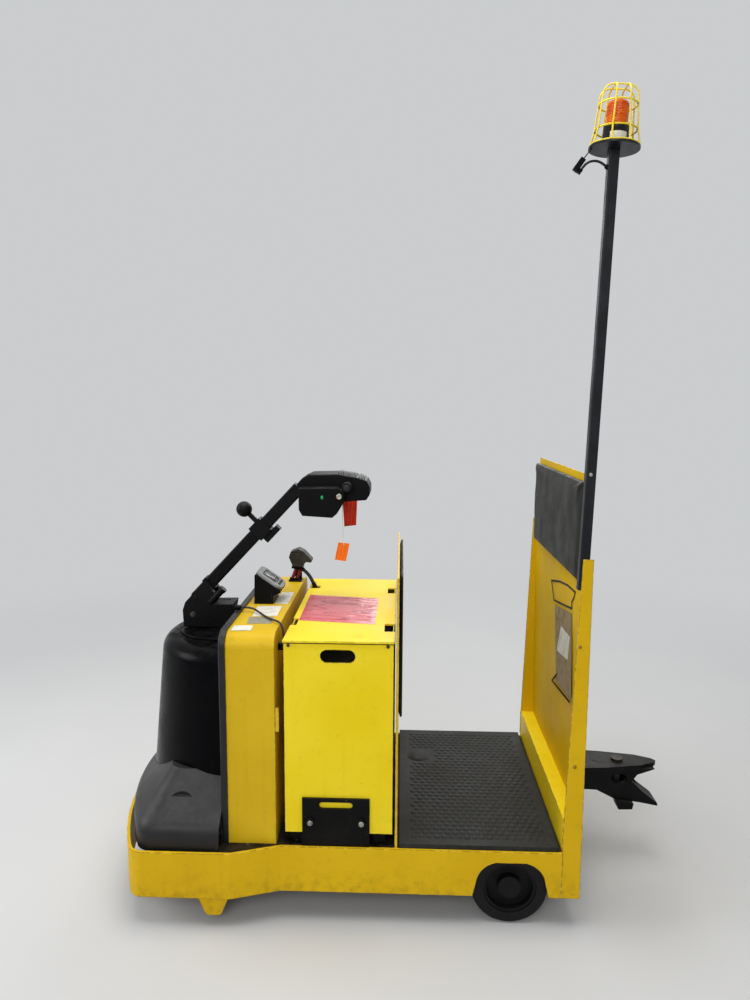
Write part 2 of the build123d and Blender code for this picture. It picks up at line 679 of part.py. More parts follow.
def knee_pad():
    """Cushion for the driver's knees."""
    high = PARTITION_X - SEAT_GAP
    pad = box(high - KNEE_THICK, high, -KNEE_HALF_W, KNEE_HALF_W, KNEE_BOTTOM, KNEE_TOP)
    return fillet(pad.edges().filter_by(Axis.X), 14)


def floor_mat():
    """Rubber mat on the platform."""
    front = PARTITION_X - 6
    return box(KICK_FRONT_X + 11, front, -MAT_HALF_W, MAT_HALF_W, DECK_TOP, DECK_TOP + MAT_THICK)


def kick_box():
    """Folded box across the rear of the platform."""
    half = FRAME_HALF_W - GUSSET_THICK
    return box(REAR_X + PANEL_THICK, KICK_FRONT_X, -half, half, DECK_TOP, DECK_TOP + KICK_TALL)


def backrest_gusset():
    """Tapered side plate from the skirt's foot to the shoulder."""
    outer = FRAME_HALF_W
    inner = outer - GUSSET_THICK
    front_foot = REAR_X + GUSSET_FOOT
    points = [
        (REAR_X, SKIRT_BOTTOM), (front_foot, SKIRT_BOTTOM), (front_foot, DECK_TOP + KICK_TALL),
        (REAR_X + GUSSET_HEAD, GUSSET_TOP), (REAR_X, GUSSET_TOP),
    ]
    plate = prism(points, "XZ", inner, outer)
    rear_lip = box(REAR_X, REAR_X + PANEL_THICK, inner - LIP_WIDTH, inner, SKIRT_BOTTOM, DECK_TOP + KICK_TALL)
    return plate + rear_lip


def pole_x(z):
    """Middle of the lamp pole at one height."""
    share = (z - POLE_FOOT_Z) / (POLE_TOP_Z - POLE_FOOT_Z)
    return POLE_FOOT_X + share * (POLE_TOP_X - POLE_FOOT_X)


def backrest_panel():
    """Sheet that leans between the gussets and stands up straight behind the pad."""
    half = FRAME_HALF_W - GUSSET_THICK
    foot_x = REAR_X + PANEL_THICK + 2
    foot_z = DECK_TOP + KICK_TALL
    lower = [
        (foot_x, foot_z), (PANEL_HEAD_X, PANEL_KNEE_Z), (PANEL_HEAD_X - PANEL_THICK, PANEL_KNEE_Z),
        (foot_x - PANEL_THICK, foot_z),
    ]
    upper_z = [(PANEL_HEAD_X, PANEL_KNEE_Z), (PANEL_HEAD_X, PANEL_TOP)]
    upper = upper_z + [(x - PANEL_THICK, z) for x, z in reversed(upper_z)]
    lean = prism(lower, "XZ", -half, half)
    head = prism(upper, "XZ", -PANEL_HEAD_HALF, PANEL_HEAD_HALF)
    return lean + head


def back_pad():
    """Grey cushion for the driver's back."""
    low = PANEL_HEAD_X + SEAT_GAP
    pad = box(low, low + PAD_THICK, -PAD_HALF_W, PAD_HALF_W, PAD_BOTTOM, PAD_TOP)
    return fillet(pad.edges().filter_by(Axis.X), 10)


def rear_tie():
    """Cross plate behind the deck that the hitch is bolted to."""
    half = FRAME_HALF_W - GUSSET_THICK - LIP_WIDTH
    return box(REAR_X, REAR_X + PANEL_THICK, -half, half, SKIRT_BOTTOM + 20, DECK_TOP + KICK_TALL)


def hitch_casting():
    """Casting with a tapered upper jaw, a lower jaw that dips, and a mouth between them."""
    root = REAR_X - SEAT_GAP
    foot = box(root - 14, root, -100, 100, 245, HITCH_TOP + 30)
    cheek = [
        (root - 14, HITCH_TOP - 14), (root - 14, 266), (-690, 270), (-735, 268), (-796, 237), (-900, 222),
        (-959, 211), (-957, 222), (-905, 262), (-862, 304), (-880, 330), (-942, HITCH_TOP - 14),
    ]
    body = prism(cheek, "XZ", -HITCH_CHEEK_HALF, HITCH_CHEEK_HALF)
    top = [
        (root - 14, HITCH_ROOT_HALF), (-760, 66), (-890, 42), (-945, 16), (HITCH_TIP_X, 0),
        (-945, -16), (-890, -42), (-760, -66), (root - 14, -HITCH_ROOT_HALF),
    ]
    tongue = prism(top, "XY", HITCH_TOP - 16, HITCH_TOP)
    mouth = box(-1000, HITCH_PIN_X + 45, -HITCH_MOUTH_HALF, HITCH_MOUTH_HALF, 268, 338)
    window = obround(HITCH_PIN_X, 313, 56, 36, -HITCH_CHEEK_HALF - 1, HITCH_CHEEK_HALF + 1)
    bore = rod("Z", (HITCH_PIN_X, 0), HITCH_PIN_R + STUB_GAP, 200, HITCH_TOP + 1)
    return foot + body + tongue - mouth - window - bore


def hitch_pin():
    """Drop pin through both jaws, with a head."""
    low = 240.0
    pin = rod("Z", (HITCH_PIN_X, 0), HITCH_PIN_R, low, HITCH_TOP + SEAT_GAP)
    return pin + rod("Z", (HITCH_PIN_X, 0), HITCH_PIN_R + 9, HITCH_TOP + SEAT_GAP, HITCH_TOP + 9)


def hitch_lever():
    """Foot lever under the lower jaw that frees the pin."""
    points = [(-800, 236.1), (-866, 226.6), (-862, 205), (-812, 203)]
    return prism(points, "XZ", 8, 60)


def beacon_pole():
    """Square tube that leans back a little, beside the backrest panel."""
    side = FRAME_HALF_W - GUSSET_THICK - POLE / 2 - SEAT_GAP
    start = (POLE_FOOT_X, side, POLE_FOOT_Z)
    end = (POLE_TOP_X, side, POLE_TOP_Z)
    lean = Plane(origin=start, x_dir=(0, 1, 0), z_dir=Vector(*end) - Vector(*start))
    section = lean * (RectangleRounded(POLE, POLE, 4) - RectangleRounded(POLE - 6, POLE - 6, 2))
    return sweep(section, Line(start, end))


def lamp_y():
    """Middle of the lamp across the tractor."""
    return FRAME_HALF_W - GUSSET_THICK - POLE / 2 - SEAT_GAP


def on_lamp(shape):
    """Put a shape made about the Z axis on the lamp's own axis, which leans back from the pole's top."""
    pole_lean = math.atan2(POLE_FOOT_X - POLE_TOP_X, POLE_TOP_Z - POLE_FOOT_Z)
    lift = SEAT_GAP + POLE / 2 * math.sin(math.radians(LAMP_LEAN) - pole_lean)
    return Pos(LAMP_X, lamp_y(), POLE_TOP_Z + lift) * Rot(0, -LAMP_LEAN, 0) * shape


def beacon_base():
    """Round plate under the lamp, with the lamp's dark foot."""
    flange_top = LAMP_BASE_THICK + 8
    base = rod("Z", (0, 0), LAMP_BASE_R, 0, LAMP_BASE_THICK)
    base += rod("Z", (0, 0), LAMP_FOOT_R + 2, LAMP_BASE_THICK, flange_top)
    base += rod("Z", (0, 0), LAMP_FOOT_R, flange_top, LAMP_FOOT_TOP)
    return on_lamp(base)


def beacon_lens():
    """Amber lens with a domed top."""
    low = LAMP_FOOT_TOP + SEAT_GAP
    lens = rod("Z", (0, 0), LENS_R, low, low + LENS_TALL)
    top = lens.edges().filter_by(GeomType.CIRCLE).sort_by(Axis.Z)[-1]
    return on_lamp(fillet(top, LENS_DOME))


# Height of each guard ring over the base's underside, and its radius; the rings are welded inside the hoops
CAGE_RINGS = [(LAMP_BASE_THICK + SEAT_GAP + RING_WIRE_R, LAMP_BASE_R - 4.3), (51.0, 57.4), (119.0, 52.2)]

# One leg of a guard hoop: distance along the hoop and aside from the axis, height, bend radius
HOOP_LEG = [(64.0, 25.0, LAMP_BASE_THICK + 2 * SEAT_GAP, 0), (54.8, 23.5, CAGE_RINGS[1][0], 20), (47.1, 18.0, HOOP_TOP, 30)]


def cage_hoop(side, drop):
    """One hoop wire, up over the lamp and down again beside its axis; drop lowers its top."""
    far_leg = [(x, side * y, z) for x, y, z, bend in HOOP_LEG[:2]] + [(HOOP_LEG[2][0], side * HOOP_LEG[2][1], HOOP_TOP - drop)]
    near_leg = [(-x, y, z) for x, y, z in far_leg]
    path = near_leg + far_leg[::-1]
    bends = [bend for x, y, z, bend in HOOP_LEG[1:]]
    route = FilletPolyline(*path, radius=bends + bends[::-1])
    start = Vector(*path[1]) - Vector(*path[0])
    return sweep(Plane(origin=path[0], z_dir=start) * Circle(HOOP_WIRE_R), route)


def beacon_cage():
    """Wire guard: two pairs of hoops, the second passing under the first over the lens, tied by three rings."""
    cage = None
    for turn, drop in ((0, 0), (90, HOOP_STEP)):
        for side in (1, -1):
            hoop = Rot(0, 0, turn) * cage_hoop(side, drop)
            cage = hoop if cage is None else cage + hoop
    for z, radius in CAGE_RINGS:
        cage += Pos(0, 0, z) * Torus(radius, RING_WIRE_R)
    return on_lamp(cage)


def steer_casting():
    """Steer head with its clevis cheeks, on a stem that stands on the motor."""
    foot_z = CRADLE_Z + CRADLE_THICK + SEAT_GAP + 14 + MOTOR_TALL
    stem = rod("Z", (STEER_X, 0), STEM_R, foot_z, HEAD_Z + 10)
    shelf_z = HEAD_Z + SHELF_TALL
    profile = [
        (PIVOT_X + 44, HEAD_Z), (PIVOT_X + 47, PIVOT_Z - 43), (PIVOT_X + 37, PIVOT_Z - 14),
        (PIVOT_X - 4, PIVOT_Z + 31), (PIVOT_X - 28, PIVOT_Z + 58), (PIVOT_X - 37, PIVOT_Z + 65),
        (PIVOT_X - 69, PIVOT_Z + 22), (PIVOT_X - 58, PIVOT_Z - 4), (PIVOT_X - 55, shelf_z),
        (PIVOT_X - 137, shelf_z + 2), (PIVOT_X - 127, HEAD_Z + 27), (PIVOT_X - 103, HEAD_Z),
    ]
    head = prism(profile, "XZ", -HEAD_HALF_W, HEAD_HALF_W)
    head = fillet(head.edges().filter_by(Axis.Y).sort_by(Axis.X)[-1], 6)
    slot_half = ARM_WIDTH / 2 + ARM_SIDE_GAP
    slot_foot = HEAD_Z + CHEEK_FOOT
    slot = box(PIVOT_X - 115, PIVOT_X + 65, -slot_half, slot_half, slot_foot, PIVOT_Z + 71)
    shelf = box(PIVOT_X - 145, PIVOT_X - 67, -HEAD_HALF_W, HEAD_HALF_W, slot_foot, shelf_z)
    head = head - slot + (shelf & prism(profile, "XZ", -HEAD_HALF_W, HEAD_HALF_W))
    pin = rod("Y", (PIVOT_X, PIVOT_Z), PIVOT_PIN_R, -HEAD_HALF_W - 4, HEAD_HALF_W + 4)
    foot = Vector(PIVOT_X - 53, HEAD_HALF_W - 8, PIVOT_Z - 16)
    mouth = Vector(PIVOT_X - 103, HEAD_HALF_W - 8, PIVOT_Z + 37)
    gland = bar(foot, mouth, GLAND_R) + bar(mouth + (foot - mouth) * 0.16, mouth, GLAND_R + 2)
    return stem + head + pin + gland


def along_arm(distance, rise=0.0):
    """A point beside the tiller, by its distance from the pivot and its height above the arm's middle."""
    angle = math.radians(ARM_ANGLE)
    x = PIVOT_X - distance * math.cos(angle) + rise * math.sin(angle)
    return x, PIVOT_Z + distance * math.sin(angle) + rise * math.cos(angle)


def arm_block(d_lo, d_hi, width, rise_lo, rise_hi, shift=0.0):
    """A block that lies along the tiller."""
    corners = [along_arm(d_lo, rise_lo), along_arm(d_hi, rise_lo), along_arm(d_hi, rise_hi), along_arm(d_lo, rise_hi)]
    return prism(corners, "XZ", shift - width / 2, shift + width / 2)


def tiller_arm():
    """Square tube arm with a rounded eye at its pivot."""
    half = ARM_DEEP / 2
    arm = arm_block(0, ARM_LONG, ARM_WIDTH, -half, half)
    arm = fillet(arm.edges().filter_by(lambda e: e.length > ARM_LONG - 5), 7)
    arm += arm_block(SLEEVE_FROM, SLEEVE_FROM + SLEEVE_LONG, ARM_WIDTH, -half - SLEEVE_PROUD, half + SLEEVE_PROUD)
    arm += rod("Y", (PIVOT_X, PIVOT_Z), half, -ARM_WIDTH / 2, ARM_WIDTH / 2)
    arm += rod("Y", (PIVOT_X, PIVOT_Z), half - 6, -ARM_WIDTH / 2 - 4, ARM_WIDTH / 2 + 4)
    return arm - rod("Y", (PIVOT_X, PIVOT_Z), PIVOT_PIN_R + STUB_GAP, -ARM_WIDTH, ARM_WIDTH)


def ball_mount():
    """Clamp round the arm with a stem and a ball above it and a bolted jaw below."""
    near = 318.0
    far = 372.0
    half = ARM_DEEP / 2 + SEAT_GAP
    clamp = arm_block(near, far, ARM_WIDTH + 16, -half - 8, half + 8)
    clamp -= arm_block(near - 1, far + 1, ARM_WIDTH + 2 * SEAT_GAP, -half, half)
    jaw = arm_block(near + 8, far + 22, 34, -half - 30, -half - 8)
    foot = along_arm(352, half + 4)
    ball = (PIVOT_X - 174, 0, PIVOT_Z + 322)
    stem = bar((foot[0], 0, foot[1]), ball, 9)
    return clamp + jaw + stem + Pos(*ball) * Sphere(28.5)


def rounded_shell(outline, half_w, corner_r, rim_r):
    """A side outline pulled across the tractor, with rounded corners and rims."""
    block = prism(outline, "XZ", -half_w, half_w)
    block = fillet(block.edges().filter_by(Axis.Y), corner_r)
    sides = block.faces().sort_by(Axis.Y)
    return fillet(sides[0].edges() + sides[-1].edges(), rim_r)


def control_head():
    """Moulded head at the end of the arm: a housing with a wider, deep switch box under it."""
    end_x, end_z = along_arm(ARM_LONG)
    top = [
        (2, 17), (-20, 41), (-44, 52), (-141, 55), (-214, 43), (-243, 33), (-255, 11), (-255, -17), (-243, -36),
        (-165, -42), (-12, -30),
    ]
    low = [(-10, 9), (-11, -67), (-23, -88), (-127, -94), (-144, -79), (-170, -34), (-172, -6), (-144, 11)]
    upper = rounded_shell([(end_x + x, end_z + z) for x, z in top], CONTROL_NECK_HALF, 7, 5)
    lower = rounded_shell([(end_x + x, end_z + z) for x, z in low], CONTROL_HALF_W, 5, 4)
    socket = arm_block(ARM_LONG - 60, ARM_LONG + 60, ARM_WIDTH, -ARM_DEEP / 2, ARM_DEEP / 2)
    return upper + lower - socket


def control_grips():
    """Twist grip and thumb wheel on each side of the head."""
    end_x, end_z = along_arm(ARM_LONG)
    grips = []
    for side in (1, -1):
        low, high = sorted((side * CONTROL_NECK_HALF, side * (CONTROL_HALF_W + 14)))
        grips.append(rod("Y", (end_x - 178, end_z + 13), 16, low, high))
        low, high = sorted((side * CONTROL_HALF_W, side * (CONTROL_HALF_W + 12)))
        grips.append(rod("Y", (end_x - 152, end_z - 18), 11, low, high))
    return grips


# The lamp's lead, from the pole's gland to its connector
BEACON_LEAD_R = 3.5
BEACON_LEAD = [
    (-576, 405, 2342), (-563, 405, 2352), (-547, 406, 2356), (-531, 407, 2354), (-517, 408, 2345), (-507, 409, 2331),
]

# The control lead, from a gland on the flange, over the console and down into the gap behind it
CONSOLE_LEAD_R = 3.5
CONSOLE_LEAD = [
    (543, 160, 971), (509, 160, 971), (482, 186, 967), (455, 222, 962), (426, 260, 961), (402, 290, 965),
    (383, 310, 964), (371, 325, 948), (368, 331, 925), (368, 331, 903),
]

# The battery's leads, from the connector down to the console and to the battery cover
BATTERY_LEAD_R = 7.0
BATTERY_LEADS = {
    "battery_lead_front": [(419, -300, 1004), (424, -298, 986), (433, -299, 968)],
    "battery_lead_rear": [(400, -300, 1004), (405, -302, 986), (414, -301, 968)],
    "battery_lead_black": [(385, -288, 1004), (370, -286, 992), (355, -281, 973), (345, -277, 954)],
}
BOOT_R = 8.5


def boot(lead_end, point_before, radius, long):
    """Round collar that carries on from a lead's end, in line with it."""
    along = (Vector(*lead_end) - Vector(*point_before)).normalized()
    return bar(lead_end, Vector(*lead_end) + along * long, radius)


def above(z):
    """All the space over one height."""
    return box(-1500, 1500, -1500, 1500, z, 3000)


def lead_glands():
    """Fixed ends of the leads: on the flange, on the console's rear face, on the pole and on the cells."""
    x, y, z = CONSOLE_LEAD[0]
    flange_gland = rod("X", (y, z), 8, x, CONSOLE_FRONT_X + FLANGE_THICK)
    x, y, z = CONSOLE_LEAD[-1]
    gap_gland = box(x - 6, CONSOLE_REAR_X, y - 8, y + 8, z - 22, z)
    start = BEACON_LEAD[0]
    pole_face = pole_x(start[2]) + POLE / 2 + 2 * SEAT_GAP
    space = box(pole_face, 0, start[1] - POLE, start[1] + POLE, start[2] - POLE, start[2] + POLE)
    pole_gland = boot(start, BEACON_LEAD[1], 6.5, 14) & space
    cover_end = BATTERY_LEADS["battery_lead_black"]
    leaving = (Vector(*cover_end[-1]) - Vector(*cover_end[-2])).normalized()
    elbow = Vector(*cover_end[-1]) + leaving * 28
    cells_gland = boot(cover_end[-1], cover_end[-2], BOOT_R, 28) + Pos(*elbow) * Sphere(BOOT_R)
    cells_gland += rod("Z", (elbow.X, elbow.Y), BOOT_R, CELL_TOP + SEAT_GAP, elbow.Z)
    return [flange_gland, gap_gland, pole_gland, cells_gland]


def lead_plug():
    """Connector under the lamp's rim: the lead ends in its lower end, and two wires leave its upper end."""
    head = Vector(*BEACON_LEAD[-1])
    arriving = head - Vector(*BEACON_LEAD[-2])
    place = Plane(origin=head, x_dir=(0, 1, 0), z_dir=arriving)
    tail = place * Pos(-1, 2, 6) * Box(12, 14, 12)
    block = place * Pos(-2, 13, -8) * Box(18, 16, 40)
    plug = fillet(block.edges(), 2) + tail
    rim_x = LAMP_X + LAMP_BASE_R - 8
    rim_z = POLE_TOP_Z + (rim_x - LAMP_X) * math.sin(math.radians(LAMP_LEAN)) - SEAT_GAP
    for aside in (-6, 2):
        foot = place.from_local_coords((aside, 13, -26))
        plug += bar(foot, (rim_x, foot.Y, rim_z), 1.5)
    return plug


def corner_radii(points):
    """Arc radius at each inner point: 0.45 of the shorter run, over the tangent of half the turn."""
    radii = []
    for before, here, after in zip(points, points[1:], points[2:]):
        arriving = Vector(*here) - Vector(*before)
        leaving = Vector(*after) - Vector(*here)
        turn = math.radians(arriving.get_angle(leaving))
        radii.append(0.45 * min(arriving.length, leaving.length) / math.tan(turn / 2))
    return radii


def lead(name, points, radius):
    """A cable as a plain tube of straight runs and tangent arcs."""
    radii = corner_radii(points)
    print(name, "radii", [round(r) for r in radii])
    path = FilletPolyline(*points, radius=radii)
    start = Vector(*points[1]) - Vector(*points[0])
    tube = sweep(Plane(origin=points[0], z_dir=start) * Circle(radius), path)
    print(name, "length", round(path.length), "volume ratio", round(tube.volume / (math.pi * radius ** 2 * path.length), 3))
    return tube


def load_wheel_pieces(side, name):
    """Tyre and hub of one load wheel."""
    y = side * load_wheel_y()
    keep(f"load_tyre_{name}", wheel_tyre(LOAD_X, y, LOAD_DIA, LOAD_WIDTH, LOAD_HUB_DIA))
    keep(f"load_hub_{name}", wheel_hub(
        LOAD_X, y, LOAD_DIA, LOAD_WIDTH, LOAD_HUB_DIA, STUB_DIA / 2 + STUB_GAP, side))


keep("frame_skirt", frame_skirt())
keep("deck_plate", deck_plate())
keep("skid_feet", mirrored(skid_foot()))
keep("drive_cradle", drive_cradle())
keep("axle_brackets", mirrored(axle_bracket()))
for wheel_side, wheel_name in ((1, "left"), (-1, "right")):
    load_wheel_pieces(wheel_side, wheel_name)
keep("drive_gearbox", drive_gearbox())
keep("traction_motor", traction_motor())
keep("drive_tyre", wheel_tyre(STEER_X, 0, DRIVE_DIA, DRIVE_WIDTH, DRIVE_HUB_DIA))
keep("drive_hub", wheel_hub(STEER_X, 0, DRIVE_DIA, DRIVE_WIDTH, DRIVE_HUB_DIA, 22 + STUB_GAP, 1))
keep("battery_rails", battery_rails())
keep("battery_case", battery_case())
keep("battery_cells", battery_cells())
keep("battery_lid", battery_lid())
keep("battery_retainers", mirrored(battery_retainer()))
keep("console", console())
keep("tower_flange", tower_flange())
keep("tower_cover", tower_cover())
keep("tower_ring", tower_ring())
keep("lower_shroud", lower_shroud())
keep("display_pod", display_pod())
keep("display_face", display_face())
keep("power_socket", power_socket())
keep("power_handle", power_handle())
keep("partition", partition())
keep("knee_pad", knee_pad())
keep("floor_mat", floor_mat())
keep("kick_box", kick_box())
keep("backrest_gussets", mirrored(backrest_gusset()))
keep("backrest_panel", backrest_panel())
keep("back_pad", back_pad())
keep("rear_tie", rear_tie())
keep("hitch_casting", hitch_casting())
keep("hitch_pin", hitch_pin())
keep("hitch_lever", hitch_lever())
keep("beacon_pole", beacon_pole())
keep("beacon_base", beacon_base())
keep("beacon_lens", beacon_lens())
keep("beacon_cage", beacon_cage())
keep("lead_glands", lead_glands())
keep("lead_plug", lead_plug())
keep("beacon_lead", lead("beacon_lead", BEACON_LEAD, BEACON_LEAD_R))
keep("console_lead", lead("console_lead", CONSOLE_LEAD, CONSOLE_LEAD_R))
for lead_name, lead_points in BATTERY_LEADS.items():
    keep(lead_name, lead(lead_name, lead_points, BATTERY_LEAD_R))
keep("steer_casting", steer_casting())
keep("tiller_arm", tiller_arm())
keep("ball_mount", ball_mount())
keep("control_head", control_head())
keep("control_grips", control_grips())
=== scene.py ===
# %% [markdown]
# # An electric tow tractor, dressed in Blender
#
# The real machine is a small battery tractor. Its driver stands on a rubber mat at the rear and steers with a long
# tiller. Its solid parts arrive from CAD as a fixed frame, in metres: +X forward, +Y to the tractor's left, +Z up.
# We could remodel everything here, but then the joints would no longer fit, so each solid keeps its shape and gets
# paint, plastic and rubber, and we build only what CAD leaves out: cushions, leads, screws, beads and trim.

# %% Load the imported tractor
import json
import math

import bmesh
import bpy
from mathutils import Matrix, Vector, noise

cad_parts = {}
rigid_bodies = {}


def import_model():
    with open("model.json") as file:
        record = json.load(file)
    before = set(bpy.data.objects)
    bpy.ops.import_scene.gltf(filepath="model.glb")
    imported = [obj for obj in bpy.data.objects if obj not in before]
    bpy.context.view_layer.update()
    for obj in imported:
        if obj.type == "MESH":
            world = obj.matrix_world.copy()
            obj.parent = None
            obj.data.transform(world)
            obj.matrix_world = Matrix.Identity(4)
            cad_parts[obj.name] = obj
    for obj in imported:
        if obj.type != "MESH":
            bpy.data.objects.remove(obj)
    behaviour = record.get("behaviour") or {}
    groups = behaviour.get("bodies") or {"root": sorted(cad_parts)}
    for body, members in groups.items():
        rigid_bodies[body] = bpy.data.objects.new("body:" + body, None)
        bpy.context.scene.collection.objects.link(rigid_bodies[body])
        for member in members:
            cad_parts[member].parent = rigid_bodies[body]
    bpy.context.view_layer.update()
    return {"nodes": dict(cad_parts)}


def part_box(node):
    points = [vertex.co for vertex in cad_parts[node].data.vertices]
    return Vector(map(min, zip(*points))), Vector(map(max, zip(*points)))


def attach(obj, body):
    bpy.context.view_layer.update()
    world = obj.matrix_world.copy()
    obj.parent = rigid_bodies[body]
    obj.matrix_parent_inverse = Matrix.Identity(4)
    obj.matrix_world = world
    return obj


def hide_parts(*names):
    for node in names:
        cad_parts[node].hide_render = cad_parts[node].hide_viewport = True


def stand(name, data):
    """A new object of the scene that holds this data."""
    thing = bpy.data.objects.new(name, data)
    bpy.context.scene.collection.objects.link(thing)
    return thing


for leftover in list(bpy.data.objects):
    bpy.data.objects.remove(leftover, do_unlink=True)
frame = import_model()

# %% [markdown]
# ## The camera
#
# The photograph was taken from the tractor's left, at head height, about two and a half metres away. A camera can
# be placed by eye, but the picture's straight edges give its place and tilt exactly, so these numbers are solved
# ones. A camera looks along its own -Z, so its matrix holds right, up and the reverse of the looking direction.

# %% Stand the camera where the photographer stood
EYE = Vector((-0.00476, 2.61004, 1.66144))
PITCH, YAW, ROLL = (math.radians(angle) for angle in (7.258, 2.0253, 0.3068))
LENS_MM = 26.399

level = Vector((math.sin(YAW), -math.cos(YAW), 0))
across = Vector((-math.cos(YAW), -math.sin(YAW), 0))
zenith = Vector((0, 0, 1))
ahead = level * math.cos(PITCH) - zenith * math.sin(PITCH)
lifted = level * math.sin(PITCH) + zenith * math.cos(PITCH)
right = across * math.cos(ROLL) + lifted * math.sin(ROLL)
upward = lifted * math.cos(ROLL) - across * math.sin(ROLL)

lens = bpy.data.cameras.new("photo_camera")
lens.lens = LENS_MM
lens.clip_start = 0.05
camera = stand("photo_camera", lens)
camera.matrix_world = Matrix((
    (right.x, upward.x, -ahead.x, EYE.x),
    (right.y, upward.y, -ahead.y, EYE.y),
    (right.z, upward.z, -ahead.z, EYE.z),
    (0, 0, 0, 1)))
bpy.context.scene.camera = camera
print("camera looks along", [round(v, 3) for v in ahead])

# %% [markdown]
# ## A short way to write materials
#
# Every finish below is a small node tree: noise for uneven colour, a mask for worn edges, a ramp for dirt near the
# floor. Written out in full, each tree takes a page, so one helper class keeps the tree and adds nodes in a line.
# Patterns read Object coordinates. Each piece keeps its place in its mesh, so those are metres in the frame's axes.

# %% Screen colours, and a node in one line
def tint(red, green, blue):
    """A screen colour, 0 to 255, as the linear colour that a shader wants."""
    linear = [v / 255 / 12.92 if v < 10.3 else ((v / 255 + 0.055) / 1.055) ** 2.4 for v in (red, green, blue)]
    return (*linear, 1.0)


def add_node(tree, kind, inputs=None, **settings):
    """Add a node; each input is a plain value or another node's output."""
    node = tree.nodes.new(kind)
    for key, value in settings.items():
        setattr(node, key, value)
    for key, value in (inputs or {}).items():
        if isinstance(value, bpy.types.NodeSocket):
            tree.links.new(value, node.inputs[key])
        else:
            node.inputs[key].default_value = value
    return node

# %% The helper class for finishes
class Nodes:
    """A node tree, and short ways to add to it."""

    def add(self, kind, inputs=None, output=0, **settings):
        """Add a node, and give back one of its outputs."""
        return add_node(self.tree, kind, inputs, **settings).outputs[output]

    def sum(self, operation, first, second=0.0):
        return self.add("ShaderNodeMath", {0: first, 1: second}, operation=operation)

    def times(self, first, second):
        return self.sum("MULTIPLY", first, second)


class Finish(Nodes):
    """One material: its node tree and its shader."""

    def __init__(self, name, **sockets):
        self.material = bpy.data.materials.new(name)
        self.material.use_nodes = True
        self.tree = self.material.node_tree
        self.shader = self.tree.nodes["Principled BSDF"]
        self.place = self.add("ShaderNodeTexCoord", output="Object")
        self.facet = self.add("ShaderNodeNewGeometry", output="True Normal")
        for key, value in sockets.items():
            self.shader.inputs[key.replace("_", " ")].default_value = value

    def moved(self, scale=(1, 1, 1), shift=(0, 0, 0)):
        """Object coordinates, stretched and shifted."""
        return self.add("ShaderNodeMapping", {"Vector": self.place, "Location": shift, "Scale": scale})

    def noise(self, scale, detail=3.0, rough=0.55, stretch=None):
        where = self.moved(stretch) if stretch else self.place
        values = {"Vector": where, "Scale": scale, "Detail": detail, "Roughness": rough}
        return self.add("ShaderNodeTexNoise", values, "Fac")

    def cells(self, scale):
        return self.add("ShaderNodeTexVoronoi", {"Vector": self.place, "Scale": scale}, "Distance", feature="F1")

    def span(self, value, low, high, start=0.0, end=1.0):
        """value's stretch from low to high, spread from start to end and held there."""
        values = {"Value": value, "From Min": low, "From Max": high, "To Min": start, "To Max": end}
        return self.add("ShaderNodeMapRange", values)

    def blend(self, share, under, over):
        """Colour under, with over laid on it by share; a colour is an output, or screen levels as in tint."""
        under, over = (tint(*colour) if isinstance(colour, tuple) else colour for colour in (under, over))
        return self.add("ShaderNodeMix", {0: share, 6: under, 7: over}, 2, data_type="RGBA")

    def axis(self, name, vector=None):
        return self.add("ShaderNodeSeparateXYZ", {0: vector or self.place}, name)

    def soft_edge(self, radius):
        """A normal that turns smoothly round each edge, and a mask that is 1 along the edges."""
        rounded = self.add("ShaderNodeBevel", {"Radius": radius}, samples=4)
        along = self.add("ShaderNodeVectorMath", {0: rounded, 1: self.facet}, "Value", operation="DOT_PRODUCT")
        return rounded, self.span(self.sum("SUBTRACT", 1.0, along), 0.005, 0.12)

    def facing_up(self):
        """1 on a level top, 0 on a wall."""
        return self.span(self.axis("Z", self.facet), 0.3, 0.95)

    def bumps(self, height, depth, normal=None):
        more = {} if normal is None else {"Normal": normal}
        return self.add("ShaderNodeBump", {"Height": height, "Distance": depth, "Strength": 1.0, **more})

    def feed(self, **links):
        """Link results into the shader: feed(Base_Color=..., Roughness=...)."""
        for key, value in links.items():
            self.tree.links.new(value, self.shader.inputs[key.replace("_", " ")])
        return self.material

# %% Put a finish on CAD nodes
def dress(material, *names):
    """Give CAD nodes a finish."""
    for name in names:
        for place in frame["nodes"][name].material_slots:
            place.material = material
    print(material.name, "on", ", ".join(names))


# %% [markdown]
# ## Painted steel
#
# The frame, console and backrest wear an orange-yellow enamel, each a shade apart, and the battery case a lemon
# one. All are well worn: broad fading, soil that thickens towards the floor, fine level scratches, pale rims that
# are partly rubbed paint and partly a painted highlight along the edges, and chips where an edge takes knocks. A
# picture of worn paint could be wrapped round the parts, but it would stretch at the corners. Noise in object space
# has no seams, and a Bevel node finds the real edges for the chips.

# %% Enamel that has been knocked and wiped
# Pale rim colour for the enamel's edges: partly rubbed paint, partly a painted highlight where the top light catches
# them.
PALE_RIM_WEAR_AND_HIGHLIGHT = (238, 214, 104)


